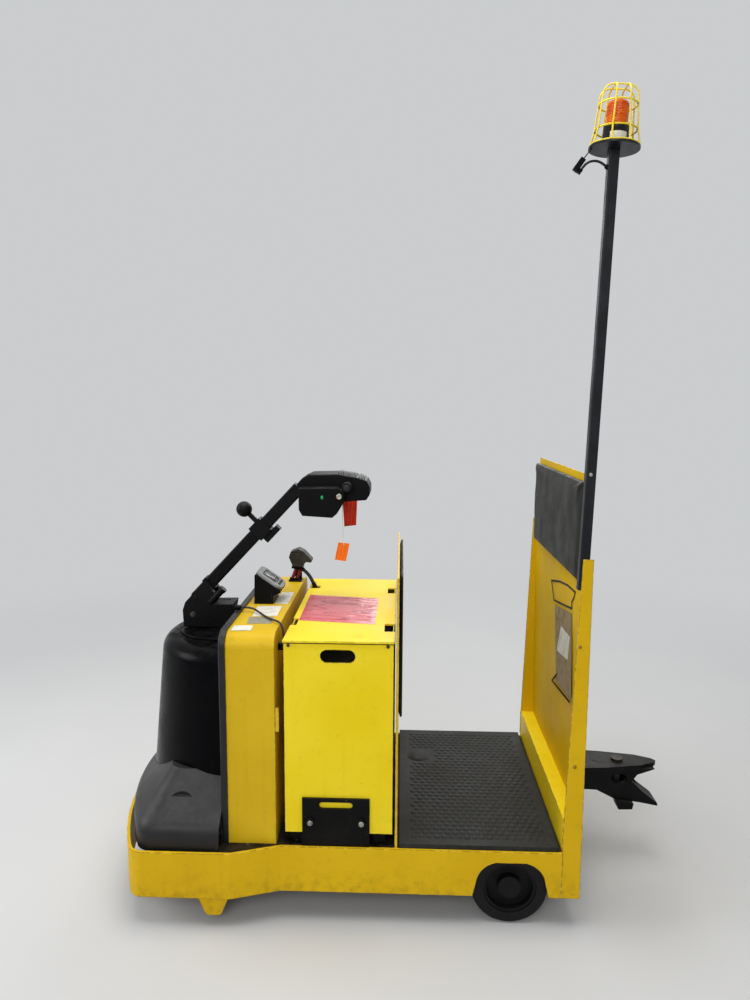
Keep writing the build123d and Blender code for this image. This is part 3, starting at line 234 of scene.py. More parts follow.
def enamel(name, body, faded, soil, chip, soil_top=0.24, scuffs=1.0, gloss=0.42, shine=0.15):
    paint = Finish(name, Specular_IOR_Level=shine)
    rounded, edge = paint.soft_edge(0.0038)
    colour = paint.blend(paint.span(paint.noise(2.2, 3), 0.38, 0.66), body, faded)
    mottle = paint.span(paint.noise(34, 7, 0.7), 0.55, 0.80, 0.0, 0.22)
    colour = paint.blend(mottle, colour, soil)
    low = paint.span(paint.axis("Z"), 0.10, soil_top, 0.6, 0.0)
    dirt = paint.times(low, paint.span(paint.noise(30, 8, 0.74), 0.46, 0.74))
    colour = paint.blend(dirt, colour, soil)
    runs = paint.noise(1.0, 4, 0.6, stretch=(26, 26, 1.3))
    colour = paint.blend(paint.span(runs, 0.60, 0.78, 0.0, 0.14), colour, soil)
    lines = paint.noise(1.0, 5, 0.7, stretch=(5, 5, 210))
    patches = paint.span(paint.noise(3.6, 4), 0.47, 0.60)
    scratch = paint.times(paint.span(lines, 0.655, 0.69), patches)
    scratch = paint.times(scratch, scuffs)
    colour = paint.blend(paint.times(scratch, 0.55), colour, chip)
    worn = paint.times(edge, paint.noise(42, 7, 0.66))
    chips = paint.span(worn, 0.46, 0.50)
    nick = paint.times(paint.span(paint.noise(120, 5, 0.66), 0.70, 0.715), patches)
    chips = paint.sum("MAXIMUM", chips, nick)
    bare = paint.blend(paint.span(paint.noise(60, 4), 0.45, 0.6), chip, (92, 58, 30))
    # Pale rims along the edges: partly rubbed paint, partly a painted highlight.
    rim = paint.span(paint.times(edge, paint.noise(15, 5)), 0.18, 0.42, 0.0, 0.75)
    colour = paint.blend(rim, colour, PALE_RIM_WEAR_AND_HIGHLIGHT)
    colour = paint.blend(chips, colour, bare)
    rough = paint.span(paint.noise(8, 6, 0.6), 0.3, 0.75, gloss - 0.10, gloss + 0.16)
    rough = paint.sum("MAXIMUM", rough, paint.times(chips, 0.8))
    peel = paint.bumps(paint.noise(260, 2), 0.00018, normal=rounded)
    dented = paint.bumps(paint.noise(4.5, 1), 0.0022, normal=peel)
    surface = paint.bumps(paint.times(chips, -1.0), 0.0004, normal=dented)
    return paint.feed(Base_Color=colour, Roughness=rough, Normal=surface)


DARK_STEEL = (52, 44, 34)
frame_enamel = enamel(
    "frame_enamel", (210, 168, 5), (220, 180, 14), (108, 80, 18), DARK_STEEL, soil_top=0.20, scuffs=1.5)
console_enamel = enamel(
    "console_enamel", (208, 170, 18), (220, 184, 34), (122, 92, 24), DARK_STEEL, 0.30, 0.5)
battery_enamel = enamel(
    "battery_enamel", (238, 208, 16), (244, 220, 44), (156, 126, 26), DARK_STEEL, 0.40, 0.5, 0.38)
panel_enamel = enamel(
    "panel_enamel", (226, 184, 8), (214, 172, 12), (112, 86, 22), DARK_STEEL, 0.5, 0.6, 0.5, 0.05)
dress(frame_enamel, "frame_skirt", "skid_feet", "backrest_gussets", "rear_tie")
dress(panel_enamel, "backrest_panel")
dress(console_enamel, "console", "partition")
# The kick box is frame steel, but it wears the brighter battery enamel so that it reads as lit: painted light.
dress(battery_enamel, "battery_case", "battery_lid", "kick_box")

# %% [markdown]
# ## Moulded plastic, castings and black paint
#
# The tower cover is glossy black plastic that has been rubbed dull in patches, and the shroud round its foot has
# the pebbled grain of a dashboard. The steer head and hitch are castings under black paint. They differ mostly in
# how light spreads on them, so one recipe takes a grain size, a depth and a gloss, and dust settles on tops.

# %% Plastic with a moulded grain
def plastic(name, body, rubbed, gloss, grain, depth, dust=0.25, dust_tint=(120, 116, 108), shine=0.2, nicks=0.0):
    mould = Finish(name, Specular_IOR_Level=shine)
    rounded, edge = mould.soft_edge(0.003)
    colour = mould.blend(mould.span(mould.noise(7, 6, 0.6), 0.45, 0.72), body, rubbed)
    colour = mould.blend(mould.span(edge, 0.3, 1.0, 0.0, 0.5), colour, rubbed)
    settled = mould.times(mould.facing_up(), mould.span(mould.noise(24, 7, 0.65), 0.35, 0.7))
    colour = mould.blend(mould.times(settled, dust), colour, dust_tint)
    lines = mould.span(mould.noise(1.0, 4, 0.7, stretch=(150, 150, 6)), 0.66, 0.70)
    marks = mould.times(lines, mould.span(mould.noise(5, 3), 0.52, 0.66))
    colour = mould.blend(mould.times(marks, 0.35), colour, dust_tint)
    nicked = mould.span(mould.noise(110, 5, 0.66), 0.66, 0.69, 0.0, nicks)
    colour = mould.blend(nicked, colour, (150, 146, 134))
    rough = mould.span(mould.noise(6, 7, 0.65), 0.3, 0.72, gloss - 0.09, gloss + 0.18)
    rough = mould.sum("MAXIMUM", rough, mould.times(settled, 0.7))
    skin = mould.bumps(mould.cells(grain), depth, normal=rounded)
    return mould.feed(Base_Color=colour, Roughness=rough, Normal=skin)


tower_plastic = plastic("tower_plastic", (3, 3, 5), (6, 6, 8), 0.25, 900, 0.00005, 0.03, shine=0.05)
shroud_plastic = plastic("shroud_plastic", (13, 13, 16), (22, 22, 26), 0.40, 620, 0.0002, 0.16, shine=0.38)
box_plastic = plastic("box_plastic", (3, 3, 5), (12, 12, 14), 0.36, 700, 0.00015, shine=0.10)
grey_plastic = plastic("grey_plastic", (124, 128, 130), (150, 152, 152), 0.46, 700, 0.00012, 0.3)
handle_plastic = plastic("handle_plastic", (36, 35, 33), (60, 58, 54), 0.5, 600, 0.0002, 0.3)
cast_black = plastic("cast_black", (4, 4, 6), (14, 14, 16), 0.40, 210, 0.0006, 0.2, shine=0.12)
pole_paint = plastic("pole_paint", (22, 23, 27), (40, 41, 46), 0.36, 420, 0.0001)
black_paint = plastic(
    "black_paint", (4, 4, 4), (17, 16, 14), 0.48, 300, 0.0002, 0.3, (96, 84, 62), 0.12, nicks=0.7)
dress(tower_plastic, "tower_cover", "tower_ring")
dress(shroud_plastic, "lower_shroud", "tower_flange")
dress(box_plastic, "display_pod", "control_head", "control_grips", "power_socket", "lead_plug", "lead_glands")
dress(grey_plastic, "display_face")
dress(handle_plastic, "power_handle")
dress(cast_black, "steer_casting", "tiller_arm", "ball_mount", "hitch_casting", "hitch_lever", "drive_cradle",
      "axle_brackets")
dress(pole_paint, "beacon_pole", "beacon_base")
# The deck plate also wears the black paint, which darkens the channel under the battery case: partly painted shade.
dress(black_paint, "battery_retainers", "battery_rails", "deck_plate")

# %% [markdown]
# ## Rubber, steel and lens
#
# Wheels pick up grey dust and wear in rings round their axle. A ring pattern needs the distance from the axle, so
# the coordinates are first moved to it. The mat is dull rubber with soil in patches. The drive unit is cast iron,
# the pin and most bolts are dark steel, and the lamp's lens is amber plastic that lets a little light through.

# %% Wheels with rings of wear
def wheel_rubber(name, tyre, body, worn):
    rubber = Finish(name, Specular_IOR_Level=0.2)
    rounded, edge = rubber.soft_edge(0.003)
    axle = [(low + high) / 2 for low, high in zip(*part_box(tyre))]
    flat = rubber.moved((1, 0, 1), (-axle[0], 0, -axle[2]))
    away = rubber.add("ShaderNodeVectorMath", {0: flat}, "Value", operation="LENGTH")
    wobble = rubber.sum("ADD", away, rubber.times(rubber.noise(9, 3), 0.012))
    rings = rubber.sum("SINE", rubber.times(wobble, 720))
    soiled = rubber.span(rubber.noise(30, 7, 0.7), 0.42, 0.72, 0.0, 0.6)
    soiled = rubber.sum("ADD", soiled, rubber.span(rings, 0.4, 1.0, 0.0, 0.16))
    colour = rubber.blend(soiled, body, worn)
    colour = rubber.blend(rubber.span(edge, 0.2, 1.0, 0.0, 0.5), colour, worn)
    skin = rubber.bumps(rings, 0.0003, normal=rounded)
    skin = rubber.bumps(rubber.noise(180, 4), 0.0005, normal=skin)
    return rubber.feed(Base_Color=colour, Roughness=rubber.span(soiled, 0, 0.7, 0.55, 0.85), Normal=skin)


load_rubber = wheel_rubber("load_rubber", "load_tyre_left", (11, 11, 12), (30, 30, 32))
load_hub = wheel_rubber("load_hub", "load_tyre_left", (5, 5, 6), (19, 19, 21))
drive_rubber = wheel_rubber("drive_rubber", "drive_tyre", (22, 21, 19), (58, 52, 44))
dress(load_rubber, "load_tyre_left", "load_tyre_right")
dress(load_hub, "load_hub_left", "load_hub_right")
dress(drive_rubber, "drive_tyre")

# %% Mat rubber, iron, plated steel and cells
def mat_rubber_finish():
    rubber = Finish("mat_rubber", Specular_IOR_Level=0.16)
    rounded, _ = rubber.soft_edge(0.002)
    trodden = rubber.span(rubber.noise(5, 5, 0.6), 0.4, 0.7)
    colour = rubber.blend(trodden, (34, 35, 34), (47, 48, 46))
    soil = rubber.span(rubber.noise(46, 7, 0.7), 0.5, 0.72, 0.0, 0.5)
    colour = rubber.blend(soil, colour, (64, 62, 57))
    skin = rubber.bumps(rubber.noise(420, 3), 0.0003, normal=rounded)
    return rubber.feed(Base_Color=colour, Roughness=rubber.span(trodden, 0, 1, 0.55, 0.72), Normal=skin)


def metal(name, body, spotted, rough, grain, depth, metallic=1.0):
    iron = Finish(name, Metallic=metallic)
    rounded, edge = iron.soft_edge(0.002)
    colour = iron.blend(iron.span(iron.noise(48, 7, 0.65), 0.5, 0.68), body, spotted)
    colour = iron.blend(iron.span(edge, 0.4, 1, 0, 0.5), colour, body)
    shine = iron.span(iron.noise(30, 6, 0.6), 0.3, 0.7, rough - 0.1, rough + 0.2)
    surface = iron.bumps(iron.noise(grain, 4), depth, normal=rounded)
    return iron.feed(Base_Color=colour, Roughness=shine, Normal=surface)


mat_rubber = mat_rubber_finish()
cast_iron = metal("cast_iron", (84, 82, 78), (60, 50, 40), 0.6, 160, 0.0008, 0.4)
plated_steel = metal("plated_steel", (170, 168, 160), (118, 98, 74), 0.36, 220, 0.0002)
brass_screw = metal("brass_screw", (176, 142, 62), (96, 74, 40), 0.4, 260, 0.0003, 0.8)
dark_bolt = metal("dark_bolt", (58, 57, 55), (92, 70, 48), 0.45, 260, 0.0003, 0.7)
cell_grey = plastic("cell_grey", (40, 40, 42), (60, 60, 60), 0.5, 300, 0.0002, 0.5)
dress(mat_rubber, "floor_mat")
dress(cast_iron, "drive_gearbox", "traction_motor", "drive_hub")
dress(dark_bolt, "hitch_pin")
dress(cell_grey, "battery_cells")

# %% Amber lens and the lamp's yellow cage
def lens_plastic():
    amber = Finish("amber_lens", Transmission_Weight=0.05, IOR=1.49, Specular_IOR_Level=0.16)
    waves = amber.noise(1.0, 2, 0.5, stretch=(20, 20, 90))
    colour = amber.blend(amber.span(waves, 0.35, 0.7), (200, 60, 0), (236, 112, 2))
    rough = amber.span(amber.noise(40, 5), 0.3, 0.7, 0.14, 0.34)
    ribs = amber.sum("SINE", amber.times(amber.axis("Z"), 1500))
    return amber.feed(Base_Color=colour, Roughness=rough, Normal=amber.bumps(ribs, 0.0006))


amber_lens = lens_plastic()
cage_paint = enamel(
    "cage_paint", (238, 208, 28), (250, 230, 84), (150, 116, 30), DARK_STEEL, scuffs=0.3, gloss=0.36)
dress(amber_lens, "beacon_lens")
dress(cage_paint, "beacon_cage")

# %% [markdown]
# ## The leads
#
# A thin black lead hangs from a gland on the pole to the lamp's connector, the control lead lies over the console
# and drops behind it, and three thick battery leads leave the connector's boots for the gap beside the console. A
# lead is one flexible thing of fixed length, so each is a NURBS curve with a round bevel. Its control points are
# the corners of the CAD route. NURBS of order 3 cuts smoothly inside those corners, which bent-wire polylines can't
# do, and the order is set once the points exist, because it can't exceed them. The battery leads show only a short
# stiff stub, less than six diameters long.

# %% Lay the leads
def cable_jacket(name, body, dusty):
    jacket = Finish(name, Specular_IOR_Level=0.3)
    colour = jacket.blend(jacket.span(jacket.noise(60, 6), 0.45, 0.7), body, dusty)
    skin = jacket.bumps(jacket.noise(700, 3), 0.0002)
    rough = jacket.span(jacket.noise(30, 4), 0.3, 0.7, 0.42, 0.62)
    return jacket.feed(Base_Color=colour, Roughness=rough, Normal=skin)


def lead_curve(name, points, radius, material):
    """A smooth lead through the route's corners, in one NURBS spline."""
    curve = bpy.data.curves.new(name, "CURVE")
    curve.dimensions = "3D"
    curve.bevel_depth = radius
    curve.bevel_resolution = 4
    curve.resolution_u = 8
    spline = curve.splines.new("NURBS")
    spline.points.add(len(points) - 1)
    for control, place in zip(spline.points, points):
        control.co = (*place, 1.0)
    spline.order_u = 3
    spline.use_endpoint_u = True
    curve.materials.append(material)
    length = spline.calc_length()
    print(name, "length", round(length, 4))
    return stand(name, curve), length


jacket_black = cable_jacket("jacket_black", (17, 17, 19), (48, 46, 44))
jacket_red = cable_jacket("jacket_red", (118, 16, 14), (84, 40, 34))

# %% The routes, each from its gland to what it goes into
LAMP_ROUTE = [
    (-0.576, 0.405, 2.342), (-0.563, 0.405, 2.352), (-0.547, 0.406, 2.356), (-0.531, 0.407, 2.354),
    (-0.517, 0.408, 2.345), (-0.507, 0.409, 2.331),
]
CONTROL_ROUTE = [
    (0.543, 0.160, 0.971), (0.509, 0.160, 0.971), (0.482, 0.186, 0.967), (0.455, 0.222, 0.962),
    (0.426, 0.260, 0.961), (0.402, 0.290, 0.965), (0.383, 0.310, 0.964), (0.371, 0.325, 0.948),
    (0.368, 0.331, 0.925), (0.368, 0.331, 0.903),
]
FRONT_ROUTE = [(0.419, -0.300, 1.004), (0.424, -0.298, 0.986), (0.433, -0.299, 0.968)]
REAR_ROUTE = [(0.400, -0.300, 1.004), (0.405, -0.302, 0.986), (0.414, -0.301, 0.968)]
BLACK_ROUTE = [(0.385, -0.288, 1.004), (0.370, -0.286, 0.992), (0.355, -0.281, 0.973), (0.345, -0.277, 0.954)]

for name, node, route, radius, jacket, slot_name in (
        ("lamp_lead", "beacon_lead", LAMP_ROUTE, 0.0035, jacket_black, "lead_rubber"),
        ("control_lead", "console_lead", CONTROL_ROUTE, 0.0035, jacket_black, "lead_rubber"),
        ("red_lead_front", "battery_lead_front", FRONT_ROUTE, 0.007, jacket_red, "red_lead"),
        ("red_lead_rear", "battery_lead_rear", REAR_ROUTE, 0.007, jacket_red, "red_lead"),
        ("black_lead", "battery_lead_black", BLACK_ROUTE, 0.007, jacket_black, "lead_rubber")):
    lead, length = lead_curve(name, route, radius, jacket)
    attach(lead, "chassis")
    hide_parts(node)

# %% [markdown]
# ## Small shapes for hand-made pieces
#
# Much of the detail is a rounded block, a flat outline with thickness or a turned profile. Blender's operators make
# them one object at a time. Adding them to a bmesh is quicker, and lets one piece hold many shapes. Each helper
# takes a matrix for the shape's place, so the finished object itself stays at the origin, unturned.

# %% Blocks and slabs
def facing(centre, normal, top=(0, 0, 1)):
    """A place at centre whose local Z is normal and whose local Y leans towards top."""
    z = Vector(normal).normalized()
    x = Vector(top).cross(z).normalized()
    y = z.cross(x)
    return Matrix.Translation(Vector(centre)) @ Matrix((x, y, z)).transposed().to_4x4()


def block(bm, size, place, rounding, segments):
    """A box of that size about the place's origin, with rounded edges."""
    made = bmesh.ops.create_cube(bm, size=1.0)["verts"]
    bmesh.ops.scale(bm, vec=size, verts=made)
    edges = list({edge for vert in made for edge in vert.link_edges})
    bevelled = bmesh.ops.bevel(bm, geom=edges, offset=rounding, segments=segments, affect="EDGES", profile=0.5)
    everything = {vert for face in bevelled["faces"] for vert in face.verts} | {v for v in made if v.is_valid}
    bmesh.ops.transform(bm, matrix=place, verts=list(everything))


def slab(bm, outline, thick, place, rounding=0.0):
    """A flat outline in the place's XY, pulled up by thick, with its upper rim rounded."""
    floor = [bm.verts.new((x, y, 0)) for x, y in outline]
    base = bm.faces.new(floor)
    lifted_part = bmesh.ops.extrude_face_region(bm, geom=[base])["geom"]
    upper = [item for item in lifted_part if isinstance(item, bmesh.types.BMVert)]
    bmesh.ops.translate(bm, vec=(0, 0, thick), verts=upper)
    every = set(floor) | set(upper)
    if rounding:
        rim = [edge for edge in {e for v in upper for e in v.link_edges} if all(v in upper for v in edge.verts)]
        made = bmesh.ops.bevel(bm, geom=rim, offset=rounding, segments=2, affect="EDGES", profile=0.5)
        every |= {vert for face in made["faces"] for vert in face.verts}
    bmesh.ops.transform(bm, matrix=place, verts=[v for v in every if v.is_valid])

# %% Rows of points, turned parts and wires
def ring(bm, radius, steps, place, height=0.0):
    """Points on a circle about the place's Z; one step is the centre itself."""
    turns = [2 * math.pi * i / steps for i in range(steps)]
    return [bm.verts.new(place @ Vector((radius * math.cos(a), radius * math.sin(a), height))) for a in turns]


def skin(bm, rows, closed=False):
    """Faces between each row of points and the next; a row of one point makes a pole."""
    for low, high in zip(rows, rows[1:]):
        count = max(len(low), len(high))
        for i in range(count if closed else count - 1):
            j = (i + 1) % count
            corners = (low[i % len(low)], low[j % len(low)], high[j % len(high)], high[i % len(high)])
            bm.faces.new(list(dict.fromkeys(corners)))


def skin_grid(bm, corners, steps, put):
    """A grid over four corners; put makes the point of each spot, row and column."""
    rows = []
    for i in range(steps + 1):
        near, far = (Vector(corners[a]).lerp(Vector(corners[b]), i / steps) for a, b in ((0, 3), (1, 2)))
        rows.append([put(near.lerp(far, j / steps), i, j) for j in range(steps + 1)])
    skin(bm, rows)


def turned(bm, profile, place, steps):
    """A profile of (radius, height) points, turned about the place's Z; radius 0 closes a pole."""
    skin(bm, [ring(bm, radius, steps if radius else 1, place, height) for radius, height in profile], closed=True)


def rounded_outline(wide, tall, corner, steps):
    """A rectangle's outline with round corners, about the origin."""
    points = []
    for sx, sy, start in ((1, 1, 0), (-1, 1, 90), (-1, -1, 180), (1, -1, 270)):
        for i in range(steps + 1):
            turn = math.radians(start + 90 * i / steps)
            points.append((sx * (wide / 2 - corner) + corner * math.cos(turn),
                           sy * (tall / 2 - corner) + corner * math.sin(turn)))
    return points


def wire(bm, points, radius):
    """A thin wire of six sides along the points, with closed ends."""
    path = [Vector(p) for p in points]
    rings = []
    for i, here in enumerate(path):
        along = (path[min(i + 1, len(path) - 1)] - path[max(i - 1, 0)]).normalized()
        rings.append(ring(bm, radius, 6, facing(here, along, (0, 0, 1) if abs(along.z) < 0.9 else (0, 1, 0))))
    skin(bm, rings, closed=True)
    bm.faces.new(rings[0][::-1])
    bm.faces.new(rings[-1])

# %% From a bmesh to a piece that rides
def mesh_of(bm, name):
    mesh = bpy.data.meshes.new(name)
    bm.to_mesh(mesh)
    bm.free()
    return mesh


def put_in_order(bm):
    """Number points and faces by their place: extruding leaves them in an order that changes from run to run."""
    for items, spot in ((bm.verts, lambda vert: vert.co), (bm.faces, lambda face: face.calc_center_median())):
        ordered = sorted(items, key=lambda item: [round(value, 6) for value in spot(item)])
        for i, item in enumerate(ordered):
            item.index = i
        items.sort()


def finish_piece(bm, name, material, body="chassis", crease=38):
    """Turn a bmesh into a piece that rides on a body."""
    bmesh.ops.recalc_face_normals(bm, faces=bm.faces)
    put_in_order(bm)
    return settle(mesh_of(bm, name), name, material, body, crease)


def settle(mesh, name, material, body, crease):
    """Shade a mesh, give it its finish, and let it ride on its body."""
    mesh.materials.clear()
    mesh.materials.append(material)
    mesh.shade_smooth()
    mesh.set_sharp_from_angle(angle=math.radians(crease))
    piece = stand(name, mesh)
    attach(piece, body)
    print(name, "faces", len(mesh.polygons))
    return piece


# %% [markdown]
# ## Screws and bolts
#
# Some twenty heads hold what shows together. Copying one by hand for each would be slow to change later.
# Instead a Geometry Nodes tree reads loose points, turns a head towards each point's own direction, and its inputs
# set the number of sides and the sizes. The result is made a plain mesh, so nothing is left to work out later.

# %% A class for geometry trees
class Recipe(Nodes):
    """A Geometry Nodes tree with named inputs."""

    def __init__(self, name, **inputs):
        self.tree = bpy.data.node_groups.new(name, "GeometryNodeTree")
        self.socket("Geometry", "Geometry", "OUTPUT")
        self.socket("Geometry", "Geometry")
        for label, value in inputs.items():
            self.socket(label.replace("_", " "), "Int" if isinstance(value, int) else "Float").default_value = value
        self.socket("Material", "Material")
        self.given = self.tree.nodes.new("NodeGroupInput").outputs
        self.out = self.tree.nodes.new("NodeGroupOutput")

    def socket(self, label, kind, way="INPUT"):
        return self.tree.interface.new_socket(label, in_out=way, socket_type=f"NodeSocket{kind}")

    def read(self, name):
        """The direction or turn that each point carries under this name."""
        return self.add("GeometryNodeInputNamedAttribute", {"Name": name}, "Attribute", data_type="FLOAT_VECTOR")

    def lifted(self, shape, height):
        up = self.add("ShaderNodeCombineXYZ", {"Z": height})
        return self.add("GeometryNodeTransform", {"Geometry": shape, "Translation": up})

    def joined(self, *shapes):
        whole = self.tree.nodes.new("GeometryNodeJoinGeometry")
        for shape in shapes:
            self.tree.links.new(shape, whole.inputs[0])
        return whole.outputs[0]

    def set_shape(self, shape, points=None, **turns):
        """One shape on each point, made real and painted, is the tree's result."""
        points = points or self.add("GeometryNodeMeshToPoints", {"Mesh": self.given["Geometry"]})
        placed = self.add("GeometryNodeInstanceOnPoints", {"Points": points, "Instance": shape, **turns})
        real = self.add("GeometryNodeRealizeInstances", {"Geometry": placed})
        painted = self.add("GeometryNodeSetMaterial", {"Geometry": real, "Material": self.given["Material"]})
        self.tree.links.new(painted, self.out.inputs[0])
        return self.tree

# %% Run a tree and keep its mesh
def bake_tree(mesh, tree, values, name, material, body, crease):
    """Run the tree on a mesh with these input values, and keep the plain result as a piece."""
    holder = stand(name + "_points", mesh)
    modifier = holder.modifiers.new("tree", "NODES")
    modifier.node_group = tree
    keys = {item.name: item.identifier for item in tree.interface.items_tree if item.in_out == "INPUT"}
    for label, value in {**values, "Material": material}.items():
        modifier[keys[label]] = value
    plain = plain_mesh(holder)
    plain.name = name
    bpy.data.objects.remove(holder, do_unlink=True)
    return settle(plain, name, material, body, crease)


def plain_mesh(thing):
    """What the modifiers make of a mesh, as a mesh of its own."""
    bpy.context.view_layer.update()
    return bpy.data.meshes.new_from_object(thing.evaluated_get(bpy.context.evaluated_depsgraph_get()))


def marked_points(name, label, spots):
    """Loose points, each with its vector under the label, from (point, vector) pairs."""
    mesh = bpy.data.meshes.new(name + "_spots")
    mesh.from_pydata([place for place, mark in spots], [], [])
    marks = mesh.attributes.new(label, "FLOAT_VECTOR", "POINT").data
    marks.foreach_set("vector", [value for place, mark in spots for value in mark])
    return mesh

# %% A tree that sets heads on points
def bolt_tree():
    bolt = Recipe("bolt_heads", Sides=6, Head_Radius=0.007, Head_Height=0.005, Washer_Radius=0.010,
                  Washer_Height=0.0015, Crown=0.8)
    given = bolt.given
    radius, tall, thick = given["Head Radius"], given["Head Height"], given["Washer Height"]

    def prism(top, depth):
        return bolt.add("GeometryNodeMeshCone", {
            "Vertices": given["Sides"], "Radius Top": top, "Radius Bottom": radius, "Depth": depth})

    washer = bolt.add("GeometryNodeMeshCylinder", {"Vertices": 24, "Radius": given["Washer Radius"], "Depth": thick})
    half = bolt.times(thick, 0.5)
    crown = prism(bolt.times(radius, given["Crown"]), bolt.times(tall, 0.3))
    whole = bolt.joined(bolt.lifted(washer, half), bolt.lifted(prism(radius, tall), half),
                        bolt.lifted(crown, bolt.sum("ADD", half, tall)))
    turn = bolt.add("FunctionNodeAlignRotationToVector", {"Vector": bolt.read("aim")}, axis="Z")
    return bolt.set_shape(whole, Rotation=turn)


BOLTS = bolt_tree()


def both_sides(spots):
    """Each (point, direction), and its twin on the tractor's other side."""
    return spots + [((x, -y, z), (dx, -dy, dz)) for (x, y, z), (dx, dy, dz) in spots]


def bolts(name, spots, head, material, body="chassis"):
    """Heads on the spots; head is (sides, radius, height, washer radius, washer height, crown)."""
    labels = ("Sides", "Head Radius", "Head Height", "Washer Radius", "Washer Height", "Crown")
    mesh = marked_points(name, "aim", spots)
    return bake_tree(mesh, BOLTS, dict(zip(labels, head)), name, material, body, 30)


# %% Set every head
HEX_M10 = (6, 0.0085, 0.0062, 0.0108, 0.0016, 0.86)
HEX_M8 = (6, 0.0068, 0.005, 0.0088, 0.0014, 0.86)
PAN = (28, 0.0052, 0.0022, 0.0056, 0.0006, 0.62)
DOME = (28, 0.0075, 0.0034, 0.0080, 0.0008, 0.55)
LEFT = (0, 1, 0)
BACK = (-1, 0, 0)
TIE_BACK = -0.6013
SKIRT_SEAT = 0.0052

frame_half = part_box("frame_skirt")[1][1]
gusset_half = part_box("backrest_gussets")[1][1]
case_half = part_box("battery_case")[1][1]
retainer_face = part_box("battery_retainers")[1][1]
print("skirt", frame_half, "gusset", gusset_half, "case", case_half, "retainer", retainer_face)

bolts("retainer_bolts", both_sides([((x, retainer_face, 0.340), LEFT) for x in (0.111, 0.275)]), HEX_M8, plated_steel)
bolts("gusset_bolts", both_sides([((-0.5555, gusset_half, z), LEFT) for z in (0.550, 0.937)]), PAN, brass_screw)
bolts("skirt_bolts", both_sides([((0.632, frame_half - SKIRT_SEAT, 0.126), LEFT)]), DOME, dark_bolt)
bolts("case_screws", both_sides([((x, case_half, 0.922), LEFT) for x in (0.030, 0.342)]), PAN, dark_bolt)
bolts("hitch_bolts", [((TIE_BACK, y, z), BACK) for y in (-0.082, 0.082) for z in (0.268, 0.372)], HEX_M10, dark_bolt)

# %% Heads that sit wherever a line meets their carrier
def seated(node, start, aim):
    """The point where a line from start along aim first meets a CAD node, and the outward direction."""
    carrier = frame["nodes"][node]
    into = carrier.matrix_world.inverted()
    hit, spot, normal, _ = carrier.ray_cast(into @ Vector(start), into.to_3x3() @ Vector(aim))
    print(node, "met at", [round(value, 4) for value in carrier.matrix_world @ spot] if hit else "nothing")
    return tuple(carrier.matrix_world @ spot), tuple(-value for value in Vector(aim))


bolts("pole_bolt", [seated("beacon_pole", (-0.568, 0.6, 1.464), (0, -1, 0))], PAN, plated_steel)
bolts("steer_bolts", [seated("steer_casting", (0.744, 0.3 * side, 0.910), (0, -side, 0)) for side in (1, -1)],
      HEX_M10, dark_bolt, "steer_head")

# %% [markdown]
# ## The mat's pebbles
#
# The driver's mat is moulded with rows of low pebbles inside a smooth border. A bump map would vanish at the edges
# and in the exported mesh, so the pebbles are real. A grid of points, every second row moved by half a step, takes
# one small dome each, a little different in size, and a fixed seed gives the same mat each run.

# %% Grow the pebbles
def pebble_tree():
    pebble = Recipe("pebbles", Pebble_Size=0.0105, Pebble_Height=0.0022, Unevenness=0.12, Seed=4)
    given = pebble.given
    wide, uneven = given["Pebble Size"], given["Unevenness"]
    ball = pebble.add("GeometryNodeMeshIcoSphere", {"Radius": 1.0, "Subdivisions": 2})
    size = pebble.add("ShaderNodeCombineXYZ", {"X": wide, "Y": wide, "Z": given["Pebble Height"]})
    vary = pebble.add("FunctionNodeRandomValue", {
        2: pebble.sum("SUBTRACT", 1.0, uneven), 3: pebble.sum("ADD", 1.0, uneven), "Seed": given["Seed"]}, 1)
    scaled = pebble.add("ShaderNodeVectorMath", {0: size, "Scale": vary}, operation="SCALE")
    return pebble.set_shape(ball, Scale=scaled)


MAT_STEP_X = 0.0245
MAT_STEP_Y = 0.0235
mat_low, mat_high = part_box("floor_mat")
MAT_FIELD_X = (mat_low[0] + 0.042, mat_high[0] - 0.046)
MAT_FIELD_Y = (mat_low[1] + 0.040, mat_high[1] - 0.036)
BOSS_AT = (-0.086, -0.188)
BOSS_CLEAR = (0.060, 0.062)

pebble_spots = []
rows = int((MAT_FIELD_Y[1] - MAT_FIELD_Y[0]) / MAT_STEP_Y)
columns = int((MAT_FIELD_X[1] - MAT_FIELD_X[0]) / MAT_STEP_X)
for row in range(rows + 1):
    for column in range(columns + 1):
        x = MAT_FIELD_X[0] + (column + 0.5 * (row % 2)) * MAT_STEP_X
        y = MAT_FIELD_Y[0] + row * MAT_STEP_Y
        near_boss = abs(x - BOSS_AT[0]) < BOSS_CLEAR[0] and abs(y - BOSS_AT[1]) < BOSS_CLEAR[1]
        if x <= MAT_FIELD_X[1] and not near_boss:
            pebble_spots.append((x, y, mat_high[2]))
pebble_points = bpy.data.meshes.new("pebble_spots")
pebble_points.from_pydata(pebble_spots, [], [])
bake_tree(pebble_points, pebble_tree(), {}, "mat_pebbles", mat_rubber, "chassis", 60)

# %% The mat's blank boss
bm = bmesh.new()
mat_top = facing((BOSS_AT[0], BOSS_AT[1], mat_high[2]), (0, 0, 1), (1, 0, 0))
slab(bm, rounded_outline(0.094, 0.086, 0.040, 10), 0.0016, mat_top, 0.0008)
slab(bm, rounded_outline(0.080, 0.058, 0.028, 10), 0.0030, mat_top, 0.0010)
finish_piece(bm, "mat_boss", mat_rubber)
